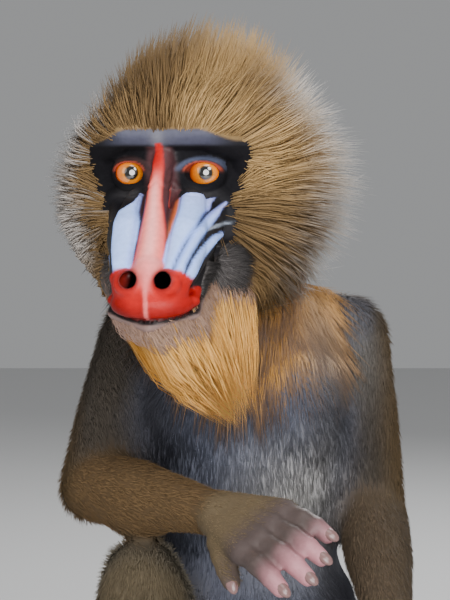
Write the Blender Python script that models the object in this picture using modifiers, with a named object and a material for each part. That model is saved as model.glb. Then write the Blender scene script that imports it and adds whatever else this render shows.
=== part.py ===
"""A seated adult male mandrill, life size, in metres, +Z up and facing -Y.

Every body part starts from muscle forms, balls and tapered limbs, that are skinned
together by a voxel remesh, smoothed and thinned. Thin cuts then part the neck, trunk and
limbs, and the long hair is fused on as flat, tapered locks."""

import math
import random

import bmesh
import bpy
from mathutils import Matrix, Vector
from mathutils.bvhtree import BVHTree

# Driving dimensions
GAP = 0.0003
EYE_HEIGHT = 0.600
EYE_SPACING = 0.058
EYEBALL_R = 0.0134
MUZZLE_LENGTH = 0.112
MUZZLE_SLOPE = math.radians(48)
HEAD_TURN = math.radians(-11)
HEAD_PLACE = Vector((-0.058, -0.125, EYE_HEIGHT))
SHOULDER_HEIGHT = 0.455
HIP = Vector((0.060, 0.050, 0.100))
SEED = 7

# Ways, in gaps, that a form is moved to cut thin locks clear of it
LOCK_MOVES = (
    (0, 0, 0), (0.3, 0.5, 0.8), (-0.4, -0.3, 0.8), (0.5, -0.3, -0.8), (-0.3, 0.4, -0.8),
)

# Joints of the limbs, right then left
SHOULDER = {
    "right": Vector((-0.084, 0.058, SHOULDER_HEIGHT)),
    "left": Vector((0.088, 0.058, SHOULDER_HEIGHT)),
}
ELBOW = {"right": Vector((-0.122, -0.060, 0.346)), "left": Vector((0.108, -0.030, 0.316))}
WRIST = {"right": Vector((-0.018, -0.212, 0.353)), "left": Vector((0.108, -0.195, 0.260))}
KNEE = {"right": Vector((-0.078, -0.132, 0.275)), "left": Vector((0.118, -0.182, 0.200))}
ANKLE = {"right": Vector((-0.090, -0.166, 0.050)), "left": Vector((0.138, -0.312, 0.050))}

SIDES = {"right": -1, "left": 1}

HEAD_TO_WORLD = Matrix.Translation(HEAD_PLACE) @ Matrix.Rotation(HEAD_TURN, 4, "Z")

for leftover in list(bpy.data.objects):
    bpy.data.objects.remove(leftover, do_unlink=True)
PARTS = bpy.data.collections.new("mandrill")
CUTTERS = bpy.data.collections.new("cutters")
for made in (PARTS, CUTTERS):
    bpy.context.scene.collection.children.link(made)


# Materials

def material(name, colour, roughness):
    made = bpy.data.materials.new(name)
    made.use_nodes = True
    shader = made.node_tree.nodes["Principled BSDF"]
    shader.inputs["Base Color"].default_value = (*colour, 1)
    shader.inputs["Roughness"].default_value = roughness
    shader.inputs["Metallic"].default_value = 0
    return made


OLIVE_COAT = material("olive_coat", (0.22, 0.16, 0.09), 0.85)
GREY_COAT = material("grey_coat", (0.13, 0.13, 0.14), 0.85)
FACE_SKIN = material("face_skin", (0.30, 0.38, 0.66), 0.5)
BEARD_COAT = material("beard_coat", (0.66, 0.42, 0.13), 0.8)
HAND_SKIN = material("hand_skin", (0.16, 0.13, 0.12), 0.6)
AMBER_EYE = material("amber_eye", (0.85, 0.40, 0.03), 0.1)
EAR_SKIN = material("ear_skin", (0.35, 0.26, 0.24), 0.6)


# Objects and mesh tools

def add_object(name, mesh, collection=CUTTERS):
    """An object in a collection. Helpers are wire guides that aren't rendered."""
    made = bpy.data.objects.new(name, mesh)
    collection.objects.link(made)
    if collection is CUTTERS:
        made.hide_render = True
        made.display_type = "WIRE"
    return made


def evaluated_mesh(obj):
    """The mesh that an object's modifiers make."""
    return bpy.data.meshes.new_from_object(obj.evaluated_get(bpy.context.evaluated_depsgraph_get()))


def edited(mesh, change):
    """Runs a change on a mesh as a bmesh and stores the result."""
    work = bmesh.new()
    work.from_mesh(mesh)
    change(work)
    work.to_mesh(mesh)
    work.free()
    return mesh


def add_ball(work, centre, radii, tilt=0.0):
    """An ellipsoid, tilted about X by so many degrees."""
    turn = Matrix.Rotation(math.radians(tilt), 4, "X")
    matrix = Matrix.Translation(centre) @ turn @ Matrix.Diagonal((*radii, 1))
    bmesh.ops.create_uvsphere(work, u_segments=24, v_segments=16, radius=1, matrix=matrix)


def add_limb(work, chain):
    """Tapered limbs with round ends through the chain's points, each (point, radius)."""
    for point, radius in chain:
        add_ball(work, Vector(point), (radius,) * 3)
    for (start, r_start), (end, r_end) in zip(chain, chain[1:]):
        start, end = Vector(start), Vector(end)
        along = end - start
        turn = Vector((0, 0, 1)).rotation_difference(along).to_matrix().to_4x4()
        bmesh.ops.create_cone(
            work, cap_ends=True, segments=20, radius1=r_start, radius2=r_end, depth=along.length,
            matrix=Matrix.Translation((start + end) / 2) @ turn,
        )


def forms_mesh(name, balls=(), limbs=(), matrix=Matrix.Identity(4)):
    """Balls and limbs, overlapping, in one mesh."""
    work = bmesh.new()
    for ball in balls:
        add_ball(work, *ball)
    for chain in limbs:
        add_limb(work, chain)
    work.transform(matrix)
    mesh = bpy.data.meshes.new(name)
    work.to_mesh(mesh)
    work.free()
    return mesh


def skin_over(mesh, voxel, rounds):
    """One smooth closed skin over overlapping forms."""
    holder = add_object("forms", mesh)
    remesh = holder.modifiers.new("skin", "REMESH")
    remesh.mode = "VOXEL"
    remesh.voxel_size = voxel
    smooth = holder.modifiers.new("smooth", "SMOOTH")
    smooth.factor = 0.5
    smooth.iterations = rounds
    skin = evaluated_mesh(holder)
    bpy.data.objects.remove(holder)
    return skin


def thinned(mesh, triangles):
    """The mesh with about so many triangles."""
    holder = add_object("thinned", mesh)
    holder.modifiers.new("triangles", "TRIANGULATE")
    now = len(evaluated_mesh(holder).polygons)
    decimate = holder.modifiers.new("thin", "DECIMATE")
    decimate.ratio = min(1, triangles / now)
    thin = evaluated_mesh(holder)
    bpy.data.objects.remove(holder)
    return thin


def moved(mesh, matrix):
    """A copy of a mesh, moved."""
    copy = mesh.copy()
    copy.transform(matrix)
    return copy


def swollen(mesh, by):
    """A helper object with the mesh's corners moved out by a small amount."""
    copy = mesh.copy()
    normals = [v.normal.copy() for v in copy.vertices]
    for vertex, normal in zip(copy.vertices, normals):
        vertex.co += normal * by
    return add_object("swollen", copy)


def combined(mesh, other, operation):
    """The Boolean of a mesh and a helper object."""
    holder = add_object("target", mesh)
    join = holder.modifiers.new("boolean", "BOOLEAN")
    join.operation = operation
    join.solver = "MANIFOLD"
    join.object = other
    result = evaluated_mesh(holder)
    bpy.data.objects.remove(holder)
    return result


def cut_clear(mesh, *others):
    """The mesh less each of the others, with the usual gap."""
    for other in others:
        cutter = swollen(other, GAP)
        mesh = combined(mesh, cutter, "DIFFERENCE")
        bpy.data.objects.remove(cutter)
    return largest_shell(mesh)


def cut_clear_of_locks(mesh, *others):
    """The mesh less each of the others, cut where they are and again moved by a gap several ways."""
    for other in others:
        for way in LOCK_MOVES:
            cutter = add_object("moved", moved(other, Matrix.Translation(Vector(way) * GAP)))
            mesh = combined(mesh, cutter, "DIFFERENCE")
            bpy.data.objects.remove(cutter)
    return largest_shell(mesh)


def fused(core, pieces):
    """The union of a core with a collection of closed pieces, in one Boolean."""
    group = bpy.data.collections.new("pieces")
    bpy.context.scene.collection.children.link(group)
    for piece in pieces:
        group.objects.link(bpy.data.objects.new("piece", piece))
    holder = add_object("core", core)
    join = holder.modifiers.new("union", "BOOLEAN")
    join.operation = "UNION"
    join.operand_type = "COLLECTION"
    join.solver = "MANIFOLD"
    join.collection = group
    result = evaluated_mesh(holder)
    for obj in [holder, *group.objects]:
        bpy.data.objects.remove(obj)
    bpy.data.collections.remove(group)
    return largest_shell(result)


def largest_shell(mesh):
    """Only the largest closed surface of a mesh."""

    def keep_one(work):
        unseen = set(work.verts)
        shells = []
        while unseen:
            shell = {unseen.pop()}
            edge = list(shell)
            while edge:
                near = {e.other_vert(v) for v in edge for e in v.link_edges} & unseen
                unseen -= near
                shell |= near
                edge = list(near)
            shells.append(shell)
        largest = max(shells, key=len)
        bmesh.ops.delete(work, geom=[v for v in work.verts if v not in largest], context="VERTS")

    return edited(mesh, keep_one)


def half_of(mesh, point, normal):
    """What lies behind a plane, closed flat, half a gap short of the plane."""
    normal = Vector(normal).normalized()

    def cut(work):
        geom = work.verts[:] + work.edges[:] + work.faces[:]
        bmesh.ops.bisect_plane(
            work, geom=geom, plane_co=Vector(point) - normal * GAP / 2, plane_no=normal, clear_outer=True
        )
        rim = [e for e in work.edges if e.is_boundary]
        bmesh.ops.holes_fill(work, edges=rim)
        bmesh.ops.triangulate(work, faces=[f for f in work.faces if len(f.verts) > 4])

    return largest_shell(edited(mesh.copy(), cut))


def parted(mesh, point, normal):
    """The two sides of a thin plane cut: behind it, then before it."""
    return half_of(mesh, point, normal), half_of(mesh, point, -Vector(normal))


def flat_based(mesh):
    """The mesh cut flat at the floor."""
    return half_of(mesh, (0, 0, -GAP / 2), (0, 0, -1))


def part(name, mesh, finish):
    """A finished sub-part."""
    mesh.materials.clear()
    mesh.materials.append(finish)
    mesh.shade_smooth()
    mesh.set_sharp_from_angle(angle=math.radians(50))
    return add_object(name, mesh, PARTS)


# Trunk: pelvis, belly, rib cage, shoulders and neck

NECK_BASE = Vector((0, 0.045, 0.430))
NECK_MIDDLE = Vector((-0.018, 0.010, 0.500))
NECK_TOP = Vector((-0.042, -0.040, 0.565))
SEAT_PAD = Vector((0.036, 0.072, 0.018))
SEAT_PAD_R = 0.030
TRUNK_TRIANGLES = 1050

TRUNK_BALLS = [
    (Vector((0, 0.068, 0.108)), (0.108, 0.100, 0.095)),
    (Vector((0, 0.012, 0.205)), (0.108, 0.118, 0.115)),
    (Vector((0, 0.022, 0.345)), (0.100, 0.112, 0.125)),
    (Vector((0, 0.078, 0.380)), (0.078, 0.062, 0.095)),
    (Vector((-0.034, -0.022, 0.400)), (0.058, 0.064, 0.066)),
    (Vector((0.034, -0.022, 0.400)), (0.058, 0.064, 0.066)),
    (Vector((0, 0.112, 0.190)), (0.075, 0.050, 0.100)),
]
TRUNK_LIMBS = [
    [(SHOULDER["right"] + Vector((0.012, 0, 0)), 0.048), (SHOULDER["left"] - Vector((0.012, 0, 0)), 0.048)],
    [(NECK_BASE, 0.074), (NECK_MIDDLE, 0.070), (NECK_TOP, 0.060)],
]
for side in SIDES.values():
    pad = Vector((SEAT_PAD.x * side, SEAT_PAD.y, SEAT_PAD.z))
    TRUNK_BALLS.append((pad, (SEAT_PAD_R,) * 3))

PELVIS_CUT = (Vector((0, 0, 0.165)), Vector((0, 0.30, 1)))
BELLY_CUT = (Vector((0, 0, 0.292)), Vector((0, 0.05, 1)))
NECK_CUT = (Vector((0, 0.020, 0.506)), Vector((0, -0.20, 1)))


def make_trunk():
    skin = skin_over(forms_mesh("trunk", TRUNK_BALLS, TRUNK_LIMBS), voxel=0.007, rounds=8)
    return flat_based(thinned(skin, TRUNK_TRIANGLES))


# Tail: a short stub, carried up

TAIL_CHAIN = [
    (Vector((0, 0.150, 0.090)), 0.020),
    (Vector((0.002, 0.184, 0.112)), 0.015),
    (Vector((0.005, 0.202, 0.146)), 0.011),
    (Vector((0.006, 0.203, 0.172)), 0.006),
]


def make_tail(trunk):
    skin = thinned(skin_over(forms_mesh("tail", limbs=[TAIL_CHAIN]), voxel=0.003, rounds=4), 160)
    return cut_clear(skin, trunk)


# Arms and hands

FINGER_LENGTHS = (0.042, 0.047, 0.045, 0.037)
FINGER_R = 0.0085
FINGER_SPACING = 0.0150
PALM_LENGTH = 0.054
THUMB_LENGTH = 0.032
THUMB_R = 0.0090
KNUCKLE_R = 0.0115
WRIST_R = 0.019
WRIST_CUT = 0.006
ARM_TRIANGLES = 400
HAND_TRIANGLES = 450
HAND_ALONG = {"right": Vector((0.62, -0.78, -0.10)), "left": Vector((0.02, -0.96, -0.27))}
HAND_BACK = {"right": Vector((-0.30, -0.42, 0.83)), "left": Vector((0.0, -0.27, 0.96))}
FINGER_CURL = {"right": (10, 12, 14), "left": (46, 30, 12)}


def limb_axes(along, back):
    """Unit axes of a hand or foot: along it, out of its back and across it."""
    along = along.normalized()
    back = (back - along * back.dot(along)).normalized()
    return along, back, along.cross(back)


def digit_chain(base, along, back, length, radius, curls):
    """A digit of three bones, each bent further towards the palm."""
    chain = [(base, radius)]
    angle = 0.0
    point = base
    for share, curl, taper in zip((0.42, 0.32, 0.26), curls, (1.0, 0.92, 0.78)):
        angle += math.radians(curl)
        heading = along * math.cos(angle) - back * math.sin(angle)
        point = point + heading * length * share
        chain.append((point, radius * taper))
    return chain


def hand_forms(side):
    """The palm's and digits' limbs of one hand."""
    along, back, across = limb_axes(HAND_ALONG[side], HAND_BACK[side])
    outward = across * SIDES[side]
    wrist = WRIST[side]
    limbs = []
    for index, length in enumerate(FINGER_LENGTHS):
        place = (index - 1.5) * FINGER_SPACING
        knuckle = wrist + along * (PALM_LENGTH - 0.003 * abs(index - 1)) + outward * place
        limbs.append([(wrist + outward * place * 0.55, 0.0150), (knuckle, KNUCKLE_R)])
        fan = (along + outward * (index - 1.5) * 0.07).normalized()
        limbs.append(digit_chain(knuckle, fan, back, length, FINGER_R, FINGER_CURL[side]))
    thumb_base = wrist + along * 0.018 - outward * 0.020 - back * 0.004
    thumb_way = (along * 0.80 - outward * 0.52 - back * 0.30).normalized()
    limbs.append(digit_chain(thumb_base, thumb_way, back, THUMB_LENGTH, THUMB_R, (0, 12, 10)))
    return limbs


def make_arm(side, trunk):
    """The upper arm, forearm and hand of one side, parted at elbow and wrist."""
    shoulder, elbow, wrist = SHOULDER[side], ELBOW[side], WRIST[side]
    lean = (elbow - shoulder) * 0.5
    chain = [
        (shoulder, 0.047), (shoulder + lean, 0.042), (elbow, 0.034),
        (elbow.lerp(wrist, 0.35), 0.033), (elbow.lerp(wrist, 0.75), 0.025), (wrist, 0.0205),
    ]
    arm = thinned(skin_over(forms_mesh("arm", limbs=[chain]), voxel=0.005, rounds=8), ARM_TRIANGLES)
    arm = cut_clear(arm, trunk)
    upper, lower = parted(arm, elbow, (wrist - elbow).normalized() + (elbow - shoulder).normalized())
    wrist_way = (wrist - elbow).normalized()
    lower = half_of(lower, wrist - wrist_way * WRIST_CUT, wrist_way)
    stub = [(wrist - wrist_way * 0.02, WRIST_R), (wrist, WRIST_R)]
    hand = skin_over(forms_mesh("hand", limbs=[*hand_forms(side), stub]), voxel=0.0022, rounds=5)
    hand = half_of(thinned(hand, HAND_TRIANGLES), wrist - wrist_way * WRIST_CUT, -wrist_way)
    return upper, lower, hand


# Legs and feet

FOOT_LENGTH = 0.100
TOE_LENGTHS = (0.044, 0.050, 0.047, 0.040)
TOE_R = 0.0085
TOE_HEIGHT = 0.0055
TOE_SPACING = 0.0145
TOE_CURLS = (4, 2, 0)
BIG_TOE_LENGTH = 0.058
BIG_TOE_R = 0.0115
HEEL_HEIGHT = 0.0175
ANKLE_R = 0.023
ANKLE_CUT = 0.012
FOOT_SPREAD = {"right": 0.10, "left": 0.20}
LEG_TRIANGLES = 420
FOOT_TRIANGLES = 400


def foot_forms(side):
    """The sole's, heel's and toes' limbs of one foot, on the floor."""
    outward = Vector((SIDES[side], 0, 0))
    along, back, _ = limb_axes(Vector((FOOT_SPREAD[side] * SIDES[side], -1, 0)), Vector((0, 0, 1)))
    out = (outward - along * outward.dot(along)).normalized()
    ankle = ANKLE[side]
    heel = Vector((ankle.x, ankle.y, HEEL_HEIGHT)) - along * 0.022
    limbs = [[(ankle, ANKLE_R), (heel, 0.0205)]]
    for index, length in enumerate(TOE_LENGTHS):
        place = (index - 1.5) * TOE_SPACING
        root = heel + along * FOOT_LENGTH + out * place
        root.z = TOE_HEIGHT + 0.004
        limbs.append([(heel + along * 0.012 + out * place * 0.3, 0.0185), (root, 0.0120)])
        limbs.append([(ankle - along * 0.002, 0.021), (heel + along * 0.060 + out * place * 0.6, 0.016)])
        fan = (along + out * (index - 1.5) * 0.10).normalized()
        toe_root = Vector((root.x, root.y, TOE_HEIGHT + 0.003))
        limbs.append(digit_chain(toe_root, fan, back, length, TOE_R, TOE_CURLS))
    big_root = heel + along * 0.040 - out * 0.012
    big_root.z = TOE_HEIGHT + 0.006
    big_way = (along * 0.80 - out * 0.62).normalized()
    limbs.append(digit_chain(big_root, big_way, back, BIG_TOE_LENGTH, BIG_TOE_R, TOE_CURLS))
    return limbs


def make_leg(side, *others):
    """The thigh, shin and foot of one side, parted at knee and ankle, clear of what lies on them."""
    hip = Vector((HIP.x * SIDES[side], HIP.y, HIP.z))
    knee, ankle = KNEE[side], ANKLE[side]
    chain = [
        (hip, 0.072), (hip.lerp(knee, 0.45), 0.060), (hip.lerp(knee, 0.85), 0.045), (knee, 0.041),
        (knee.lerp(ankle, 0.32) + Vector((0, 0.010, 0)), 0.037), (knee.lerp(ankle, 0.75), 0.027),
        (ankle, ANKLE_R),
    ]
    leg = thinned(skin_over(forms_mesh("leg", limbs=[chain]), voxel=0.006, rounds=7), LEG_TRIANGLES)
    leg = cut_clear(leg, *others)
    thigh, shin = parted(leg, knee, (ankle - knee).normalized() + (knee - hip).normalized())
    ankle_way = (ankle - knee).normalized()
    joint = ankle - ankle_way * ANKLE_CUT
    shin = half_of(shin, joint, ankle_way)
    stub = [(ankle - ankle_way * 0.03, ANKLE_R), (ankle, ANKLE_R)]
    foot = skin_over(forms_mesh("foot", limbs=[*foot_forms(side), stub]), voxel=0.0025, rounds=5)
    foot = half_of(thinned(foot, FOOT_TRIANGLES), joint, -ankle_way)
    return thigh, shin, flat_based(foot)


# Head, in its own frame: origin midway between the eyes, -Y forward, +X its left

BRIDGE_TOP = Vector((0, -0.018, 0.014))
NOSE_TIP = BRIDGE_TOP + MUZZLE_LENGTH * Vector((0, -math.cos(MUZZLE_SLOPE), -math.sin(MUZZLE_SLOPE)))
BROW_CENTRE = Vector((0, -0.012, 0.026))
BROW_PEAK = Vector((0.030, -0.012, 0.029))
BROW_END = Vector((0.055, 0.012, 0.018))
CHEEK_BONE = Vector((0.058, 0.030, -0.012))
RIDGE_TOP = Vector((0.020, -0.019, -0.022))
RIDGE_END = Vector((0.0195, -0.076, -0.073))
NOSTRIL = Vector((0.0130, NOSE_TIP.y - 0.004, NOSE_TIP.z - 0.009))
NOSTRIL_RADII = (0.0048, 0.0090, 0.0036)
EYE_OPENING = (0.0128, 0.0086)
LID = 0.0025
LIP_FRONT = Vector((0, -0.088, -0.106))
LIP_CORNER = Vector((0.030, -0.024, -0.072))
LIP_HALF = 0.030
JAW_BACK = 0.004
HEAD_TRIANGLES = 2400
JAW_TRIANGLES = 420
EAR = Vector((0.087, 0.074, 0.006))
EAR_RADII = (0.0075, 0.0200, 0.0270)
EAR_FLARE = 35
EAR_CUP = Vector((0.0055, -0.0050, 0.0010))


def mirrored(point, side):
    """The point on one side of the head."""
    return Vector((point[0] * side, point[1], point[2]))


def head_balls():
    balls = [
        (Vector((0, 0.055, 0.000)), (0.060, 0.076, 0.054)),
        (Vector((0.003, 0.074, 0.030)), (0.062, 0.068, 0.052)),
        (Vector((0, 0.098, -0.004)), (0.068, 0.054, 0.068)),
        (NOSE_TIP + Vector((0, 0.013, -0.014)), (0.0290, 0.0160, 0.0190), -10),
        (NOSE_TIP + Vector((0, 0.018, -0.026)), (0.0310, 0.0200, 0.0160)),
    ]
    for side in SIDES.values():
        balls.append((mirrored((0.050, 0.054, -0.030), side), (0.038, 0.052, 0.058)))
        balls.append((mirrored((0.038, 0.014, -0.034), side), (0.024, 0.026, 0.026)))
        wing = mirrored((0.0140, NOSE_TIP.y + 0.004, NOSE_TIP.z - 0.010), side)
        balls.append((wing, (0.0115, 0.0100, 0.0105)))
        eye = mirrored((EYE_SPACING / 2, 0.001, 0), side)
        balls.append((eye, (EYEBALL_R + LID,) * 3))
        balls.append((mirrored((0.014, 0.000, -0.012), side), (0.012, 0.014, 0.016)))
    return balls


def head_limbs():
    nose = NOSE_TIP + Vector((0, 0.0105, -0.002))
    limbs = [
        [(BRIDGE_TOP + Vector((0, 0.006, 0)), 0.0085), (BRIDGE_TOP.lerp(nose, 0.5), 0.009), (nose, 0.0125)],
        [((0, 0.012, -0.038), 0.040), ((0, -0.054, -0.082), 0.0255)],
        [((0, 0.030, -0.078), 0.036), ((0, -0.060, -0.113), 0.0185)],
    ]
    for side in SIDES.values():
        brow = [(BROW_CENTRE, 0.0105), (BROW_PEAK, 0.0108), (BROW_END, 0.0115), (CHEEK_BONE, 0.0140)]
        limbs.append([(mirrored(point, side), radius) for point, radius in brow])
        middle = RIDGE_TOP.lerp(RIDGE_END, 0.5) + Vector((0.001, -0.003, 0))
        ridge = [(RIDGE_TOP, 0.0115), (middle, 0.0165), (RIDGE_END, 0.0135)]
        limbs.append([(mirrored(point, side), radius) for point, radius in ridge])
        for drop, radius in ((0.0042, 0.0050), (-0.0052, 0.0048)):
            front = Vector((0, LIP_FRONT.y + 0.003, LIP_FRONT.z + drop))
            bend = Vector((LIP_HALF * side, LIP_FRONT.y + 0.018, LIP_FRONT.z + 0.009 + drop))
            corner = mirrored(LIP_CORNER, side) + Vector((0, 0, drop))
            limbs.append([(front, radius), (bend, radius), (corner, radius * 0.8)])
    return limbs


RIDGE_GROOVES = 3
RIDGE_HALF = 0.0150
RIDGE_FACING = Vector((0.6, -0.5, 0.62)).normalized()
GROOVE_DEPTH = 0.0022


def groove_ridges(mesh):
    """Sinks the lengthwise grooves of the cheek ridges into the skin."""
    normals = [v.normal.copy() for v in mesh.vertices]
    along = RIDGE_END - RIDGE_TOP
    for vertex, normal in zip(mesh.vertices, normals):
        side = 1 if vertex.co.x > 0 else -1
        spot = mirrored(vertex.co, side)
        share = (spot - RIDGE_TOP).dot(along) / along.length_squared
        axis = RIDGE_TOP + along * share
        across = spot.x - axis.x
        outer = (spot - axis).dot(RIDGE_FACING)
        if 0.02 < share < 0.98 and outer > 0 and abs(across) < RIDGE_HALF + 0.004:
            fade = math.sin(math.pi * share) ** 0.5
            wave = 0.5 - 0.5 * math.cos(math.pi * RIDGE_GROOVES * (across + RIDGE_HALF) / RIDGE_HALF)
            vertex.co -= normal * GROOVE_DEPTH * fade * (1 - wave)
    return mesh


def ball_mesh(centre, radii, segments=14, rings=8, tilt=0.0):
    """A closed ellipsoid."""
    work = bmesh.new()
    turn = Matrix.Rotation(math.radians(tilt), 4, "X")
    matrix = Matrix.Translation(centre) @ turn @ Matrix.Diagonal((*radii, 1))
    bmesh.ops.create_uvsphere(work, u_segments=segments, v_segments=rings, radius=1, matrix=matrix)
    mesh = bpy.data.meshes.new("ball")
    work.to_mesh(mesh)
    work.free()
    return mesh


def less(mesh, cutter_mesh):
    """The mesh without a cutter's space."""
    cutter = add_object("cutter", cutter_mesh)
    mesh = combined(mesh, cutter, "DIFFERENCE")
    bpy.data.objects.remove(cutter)
    return mesh


def jaw_box(grow):
    """The space of the lower jaw, below the mouth line and before its joint, grown a little."""
    slope = math.atan2(LIP_CORNER.z - LIP_FRONT.z, LIP_CORNER.y - LIP_FRONT.y)
    work = bmesh.new()
    bmesh.ops.create_cube(work, size=1)
    size = Vector((0.20, 0.20, 0.12))
    matrix = Matrix.Translation(Vector((0, JAW_BACK + grow, LIP_CORNER.z + 0.028 * math.tan(slope) + grow)))
    matrix = matrix @ Matrix.Rotation(slope, 4, "X") @ Matrix.Translation((0, -size.y / 2, -size.z / 2))
    bmesh.ops.transform(work, matrix=matrix @ Matrix.Diagonal((*size, 1)), verts=work.verts)
    mesh = bpy.data.meshes.new("jaw_box")
    work.to_mesh(mesh)
    work.free()
    return mesh


def make_head():
    """The head's core and the lower jaw, in the head's frame."""
    whole = skin_over(forms_mesh("head", head_balls(), head_limbs()), voxel=0.0024, rounds=4)
    whole = groove_ridges(whole)
    jaw_forms = combined(whole, add_object("jaw", jaw_box(-GAP / 2)), "INTERSECT")
    jaw = largest_shell(thinned(largest_shell(jaw_forms), JAW_TRIANGLES))
    whole = thinned(whole, HEAD_TRIANGLES)
    core = largest_shell(less(whole, jaw_box(GAP * 2)))
    for side in SIDES.values():
        eye = mirrored((EYE_SPACING / 2, 0, 0), side)
        core = less(core, ball_mesh(eye, (EYEBALL_R + GAP,) * 3))
        opening = (EYE_OPENING[0], 0.014, EYE_OPENING[1])
        core = less(core, ball_mesh(eye + Vector((0, -0.014, 0)), opening, 14, 6))
        core = less(core, ball_mesh(mirrored(NOSTRIL, side), NOSTRIL_RADII, 8, 6, 25))
    return largest_shell(core), jaw


def make_eye(side):
    return ball_mesh(mirrored((EYE_SPACING / 2, 0, 0), side), (EYEBALL_R,) * 3)


def make_ear(side, head):
    """A thin cup, open forward and outward, behind the cheek."""
    ear = ball_mesh((0, 0, 0), EAR_RADII, 12, 6)
    cup = (EAR_RADII[0] * 0.85, EAR_RADII[1] * 0.80, EAR_RADII[2] * 0.80)
    ear = less(ear, ball_mesh(mirrored(EAR_CUP, side), cup, 12, 6))
    turn = Matrix.Rotation(math.radians(-EAR_FLARE * side), 4, "Z")
    ear.transform(Matrix.Translation(mirrored(EAR, side)) @ turn)
    return cut_clear(ear, head)


# Long hair: crest, ruff, nape, neck mane and beard, out to their tips

HAIR_CENTRE = Vector((0, 0.065, 0))
HAIR_REACH = [
    (Vector((0, -0.55, 0.85)), 0.110),
    (Vector((0, 0.10, 1)), 0.124),
    (Vector((0.22, 0.55, 0.95)), 0.158),
    (Vector((0, 1, 0.20)), 0.130),
    (Vector((0, 0.80, -0.75)), 0.120),
    (Vector((-0.7, 0.1, 0.75)), 0.106),
    (Vector((0.7, 0.1, 0.75)), 0.132),
    (Vector((-1, -0.05, -0.15)), 0.118),
    (Vector((1, -0.05, -0.15)), 0.146),
    (Vector((-0.75, -0.10, -0.80)), 0.118),
    (Vector((0.75, -0.10, -0.80)), 0.146),
    (Vector((0.40, -0.20, -0.90)), 0.150),
    (Vector((-0.85, -0.60, -0.10)), 0.092),
    (Vector((0.85, -0.60, -0.10)), 0.096),
]
REACH_SHARPNESS = 9.0
FACE_CENTRE = Vector((0, -0.050, -0.020))
HEAD_LOCKS = 106
LOCK_WIDTH = 0.035
LOCK_THICK = 0.0050
LOCK_SUNK = 0.006
LOCK_WIDTHS = (0.62, 1.0, 0.72)
LOCK_THICKS = (1.0, 0.95, 0.65)
HAIR_CLEARANCE = 0.0055
MANE_CLEARANCE = 0.0075
EAR_CLEARANCE = 0.026
EAR_ROOM = 0.030
JAW_CENTRE = Vector((0, -0.040, -0.098))
JAW_LOCKS = 29
BARE_CHIN = 0.010
BEARD_TIP = Vector((0.056, -0.026, -0.186))
NECK_LOCKS = 22
NECK_ROOTS = (0.517, 0.539)
NECK_LENGTH = 0.074
NECK_FRONT_LENGTH = 0.130


def hair_reach(way):
    """How far the hair's tips reach from its centre in one direction."""
    way = way.normalized()
    total = reach = 0.0
    for key, length in HAIR_REACH:
        weight = math.exp(REACH_SHARPNESS * (way.dot(key.normalized()) - 1))
        total += weight
        reach += weight * length
    return reach / total


def eased(value, low, high):
    """0 below low, 1 above high, and a smooth rise between."""
    share = min(1.0, max(0.0, (value - low) / (high - low)))
    return share * share * (3 - 2 * share)


def spread_ways(count):
    """Directions spread evenly over a ball, on a golden spiral."""
    golden = math.pi * (3 - math.sqrt(5))
    ways = []
    for index in range(count):
        height = 1 - 2 * (index + 0.5) / count
        ring = math.sqrt(1 - height * height)
        ways.append(Vector((ring * math.cos(golden * index), ring * math.sin(golden * index), height)))
    return ways


def bent_path(start, middle, end, steps):
    """Points on a curve from start, pulled towards middle, to end."""
    path = []
    for step in range(steps + 1):
        share = step / steps
        path.append(start * (1 - share) ** 2 + middle * 2 * share * (1 - share) + end * share**2)
    return path


def lock_mesh(path, across, width, thick):
    """A flat, tapered lock with a low ridge: three-sided rings along its path, and a pointed tip."""
    work = bmesh.new()
    rings = []
    for index in range(len(path) - 1):
        along = (path[index + 1] - path[max(0, index - 1)]).normalized()
        flat = (across - along * across.dot(along)).normalized()
        wide = flat * width * LOCK_WIDTHS[index] / 2
        ridge = flat.cross(along) * thick * LOCK_THICKS[index]
        rings.append([work.verts.new(path[index] + offset) for offset in (wide, ridge, -wide)])
    tip = work.verts.new(path[-1])
    sides = ((0, 1), (1, 2), (2, 0))
    for lower, upper in zip(rings, rings[1:]):
        for near, far in sides:
            work.faces.new((lower[near], lower[far], upper[far]))
            work.faces.new((lower[near], upper[far], upper[near]))
    for near, far in sides:
        work.faces.new((rings[-1][near], rings[-1][far], tip))
    work.faces.new(rings[0])
    bmesh.ops.recalc_face_normals(work, faces=work.faces)
    mesh = bpy.data.meshes.new("lock")
    work.to_mesh(mesh)
    work.free()
    return mesh


def tree_of(mesh):
    corners = [v.co.copy() for v in mesh.vertices]
    return BVHTree.FromPolygons(corners, [tuple(p.vertices) for p in mesh.polygons])


def pushed_clear(point, trees, clearance):
    """The point, moved out of the bodies it would enter or touch."""
    for tree in trees:
        spot, normal, _, distance = tree.find_nearest(point)
        hit, hit_normal, _, _ = tree.ray_cast(point, Vector((0, 0, 1)))
        within = hit is not None and hit_normal.z > 0
        if within or distance < clearance:
            away = spot - point if within else point - spot
            point = spot + (away.normalized() if away.length > GAP else normal) * clearance
    return point


def clear_of_ears(point):
    """The point, moved out of the clear space round each ear."""
    for side in SIDES.values():
        ear = mirrored(EAR, side)
        if (point - ear).length < EAR_ROOM:
            point = ear + (point - ear).normalized() * EAR_ROOM
    return point


def hair_grows(point):
    """Whether long hair grows at a point of the head: behind brow, temples and cheeks, round the ears."""
    front = 0.020 - 0.024 * eased(point.z, 0.028, 0.042) - 0.012 * eased(-point.z, 0.045, 0.075)
    ears = min((point - mirrored(EAR, side)).length for side in SIDES.values())
    return point.y > front and ears > EAR_CLEARANCE


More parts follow.
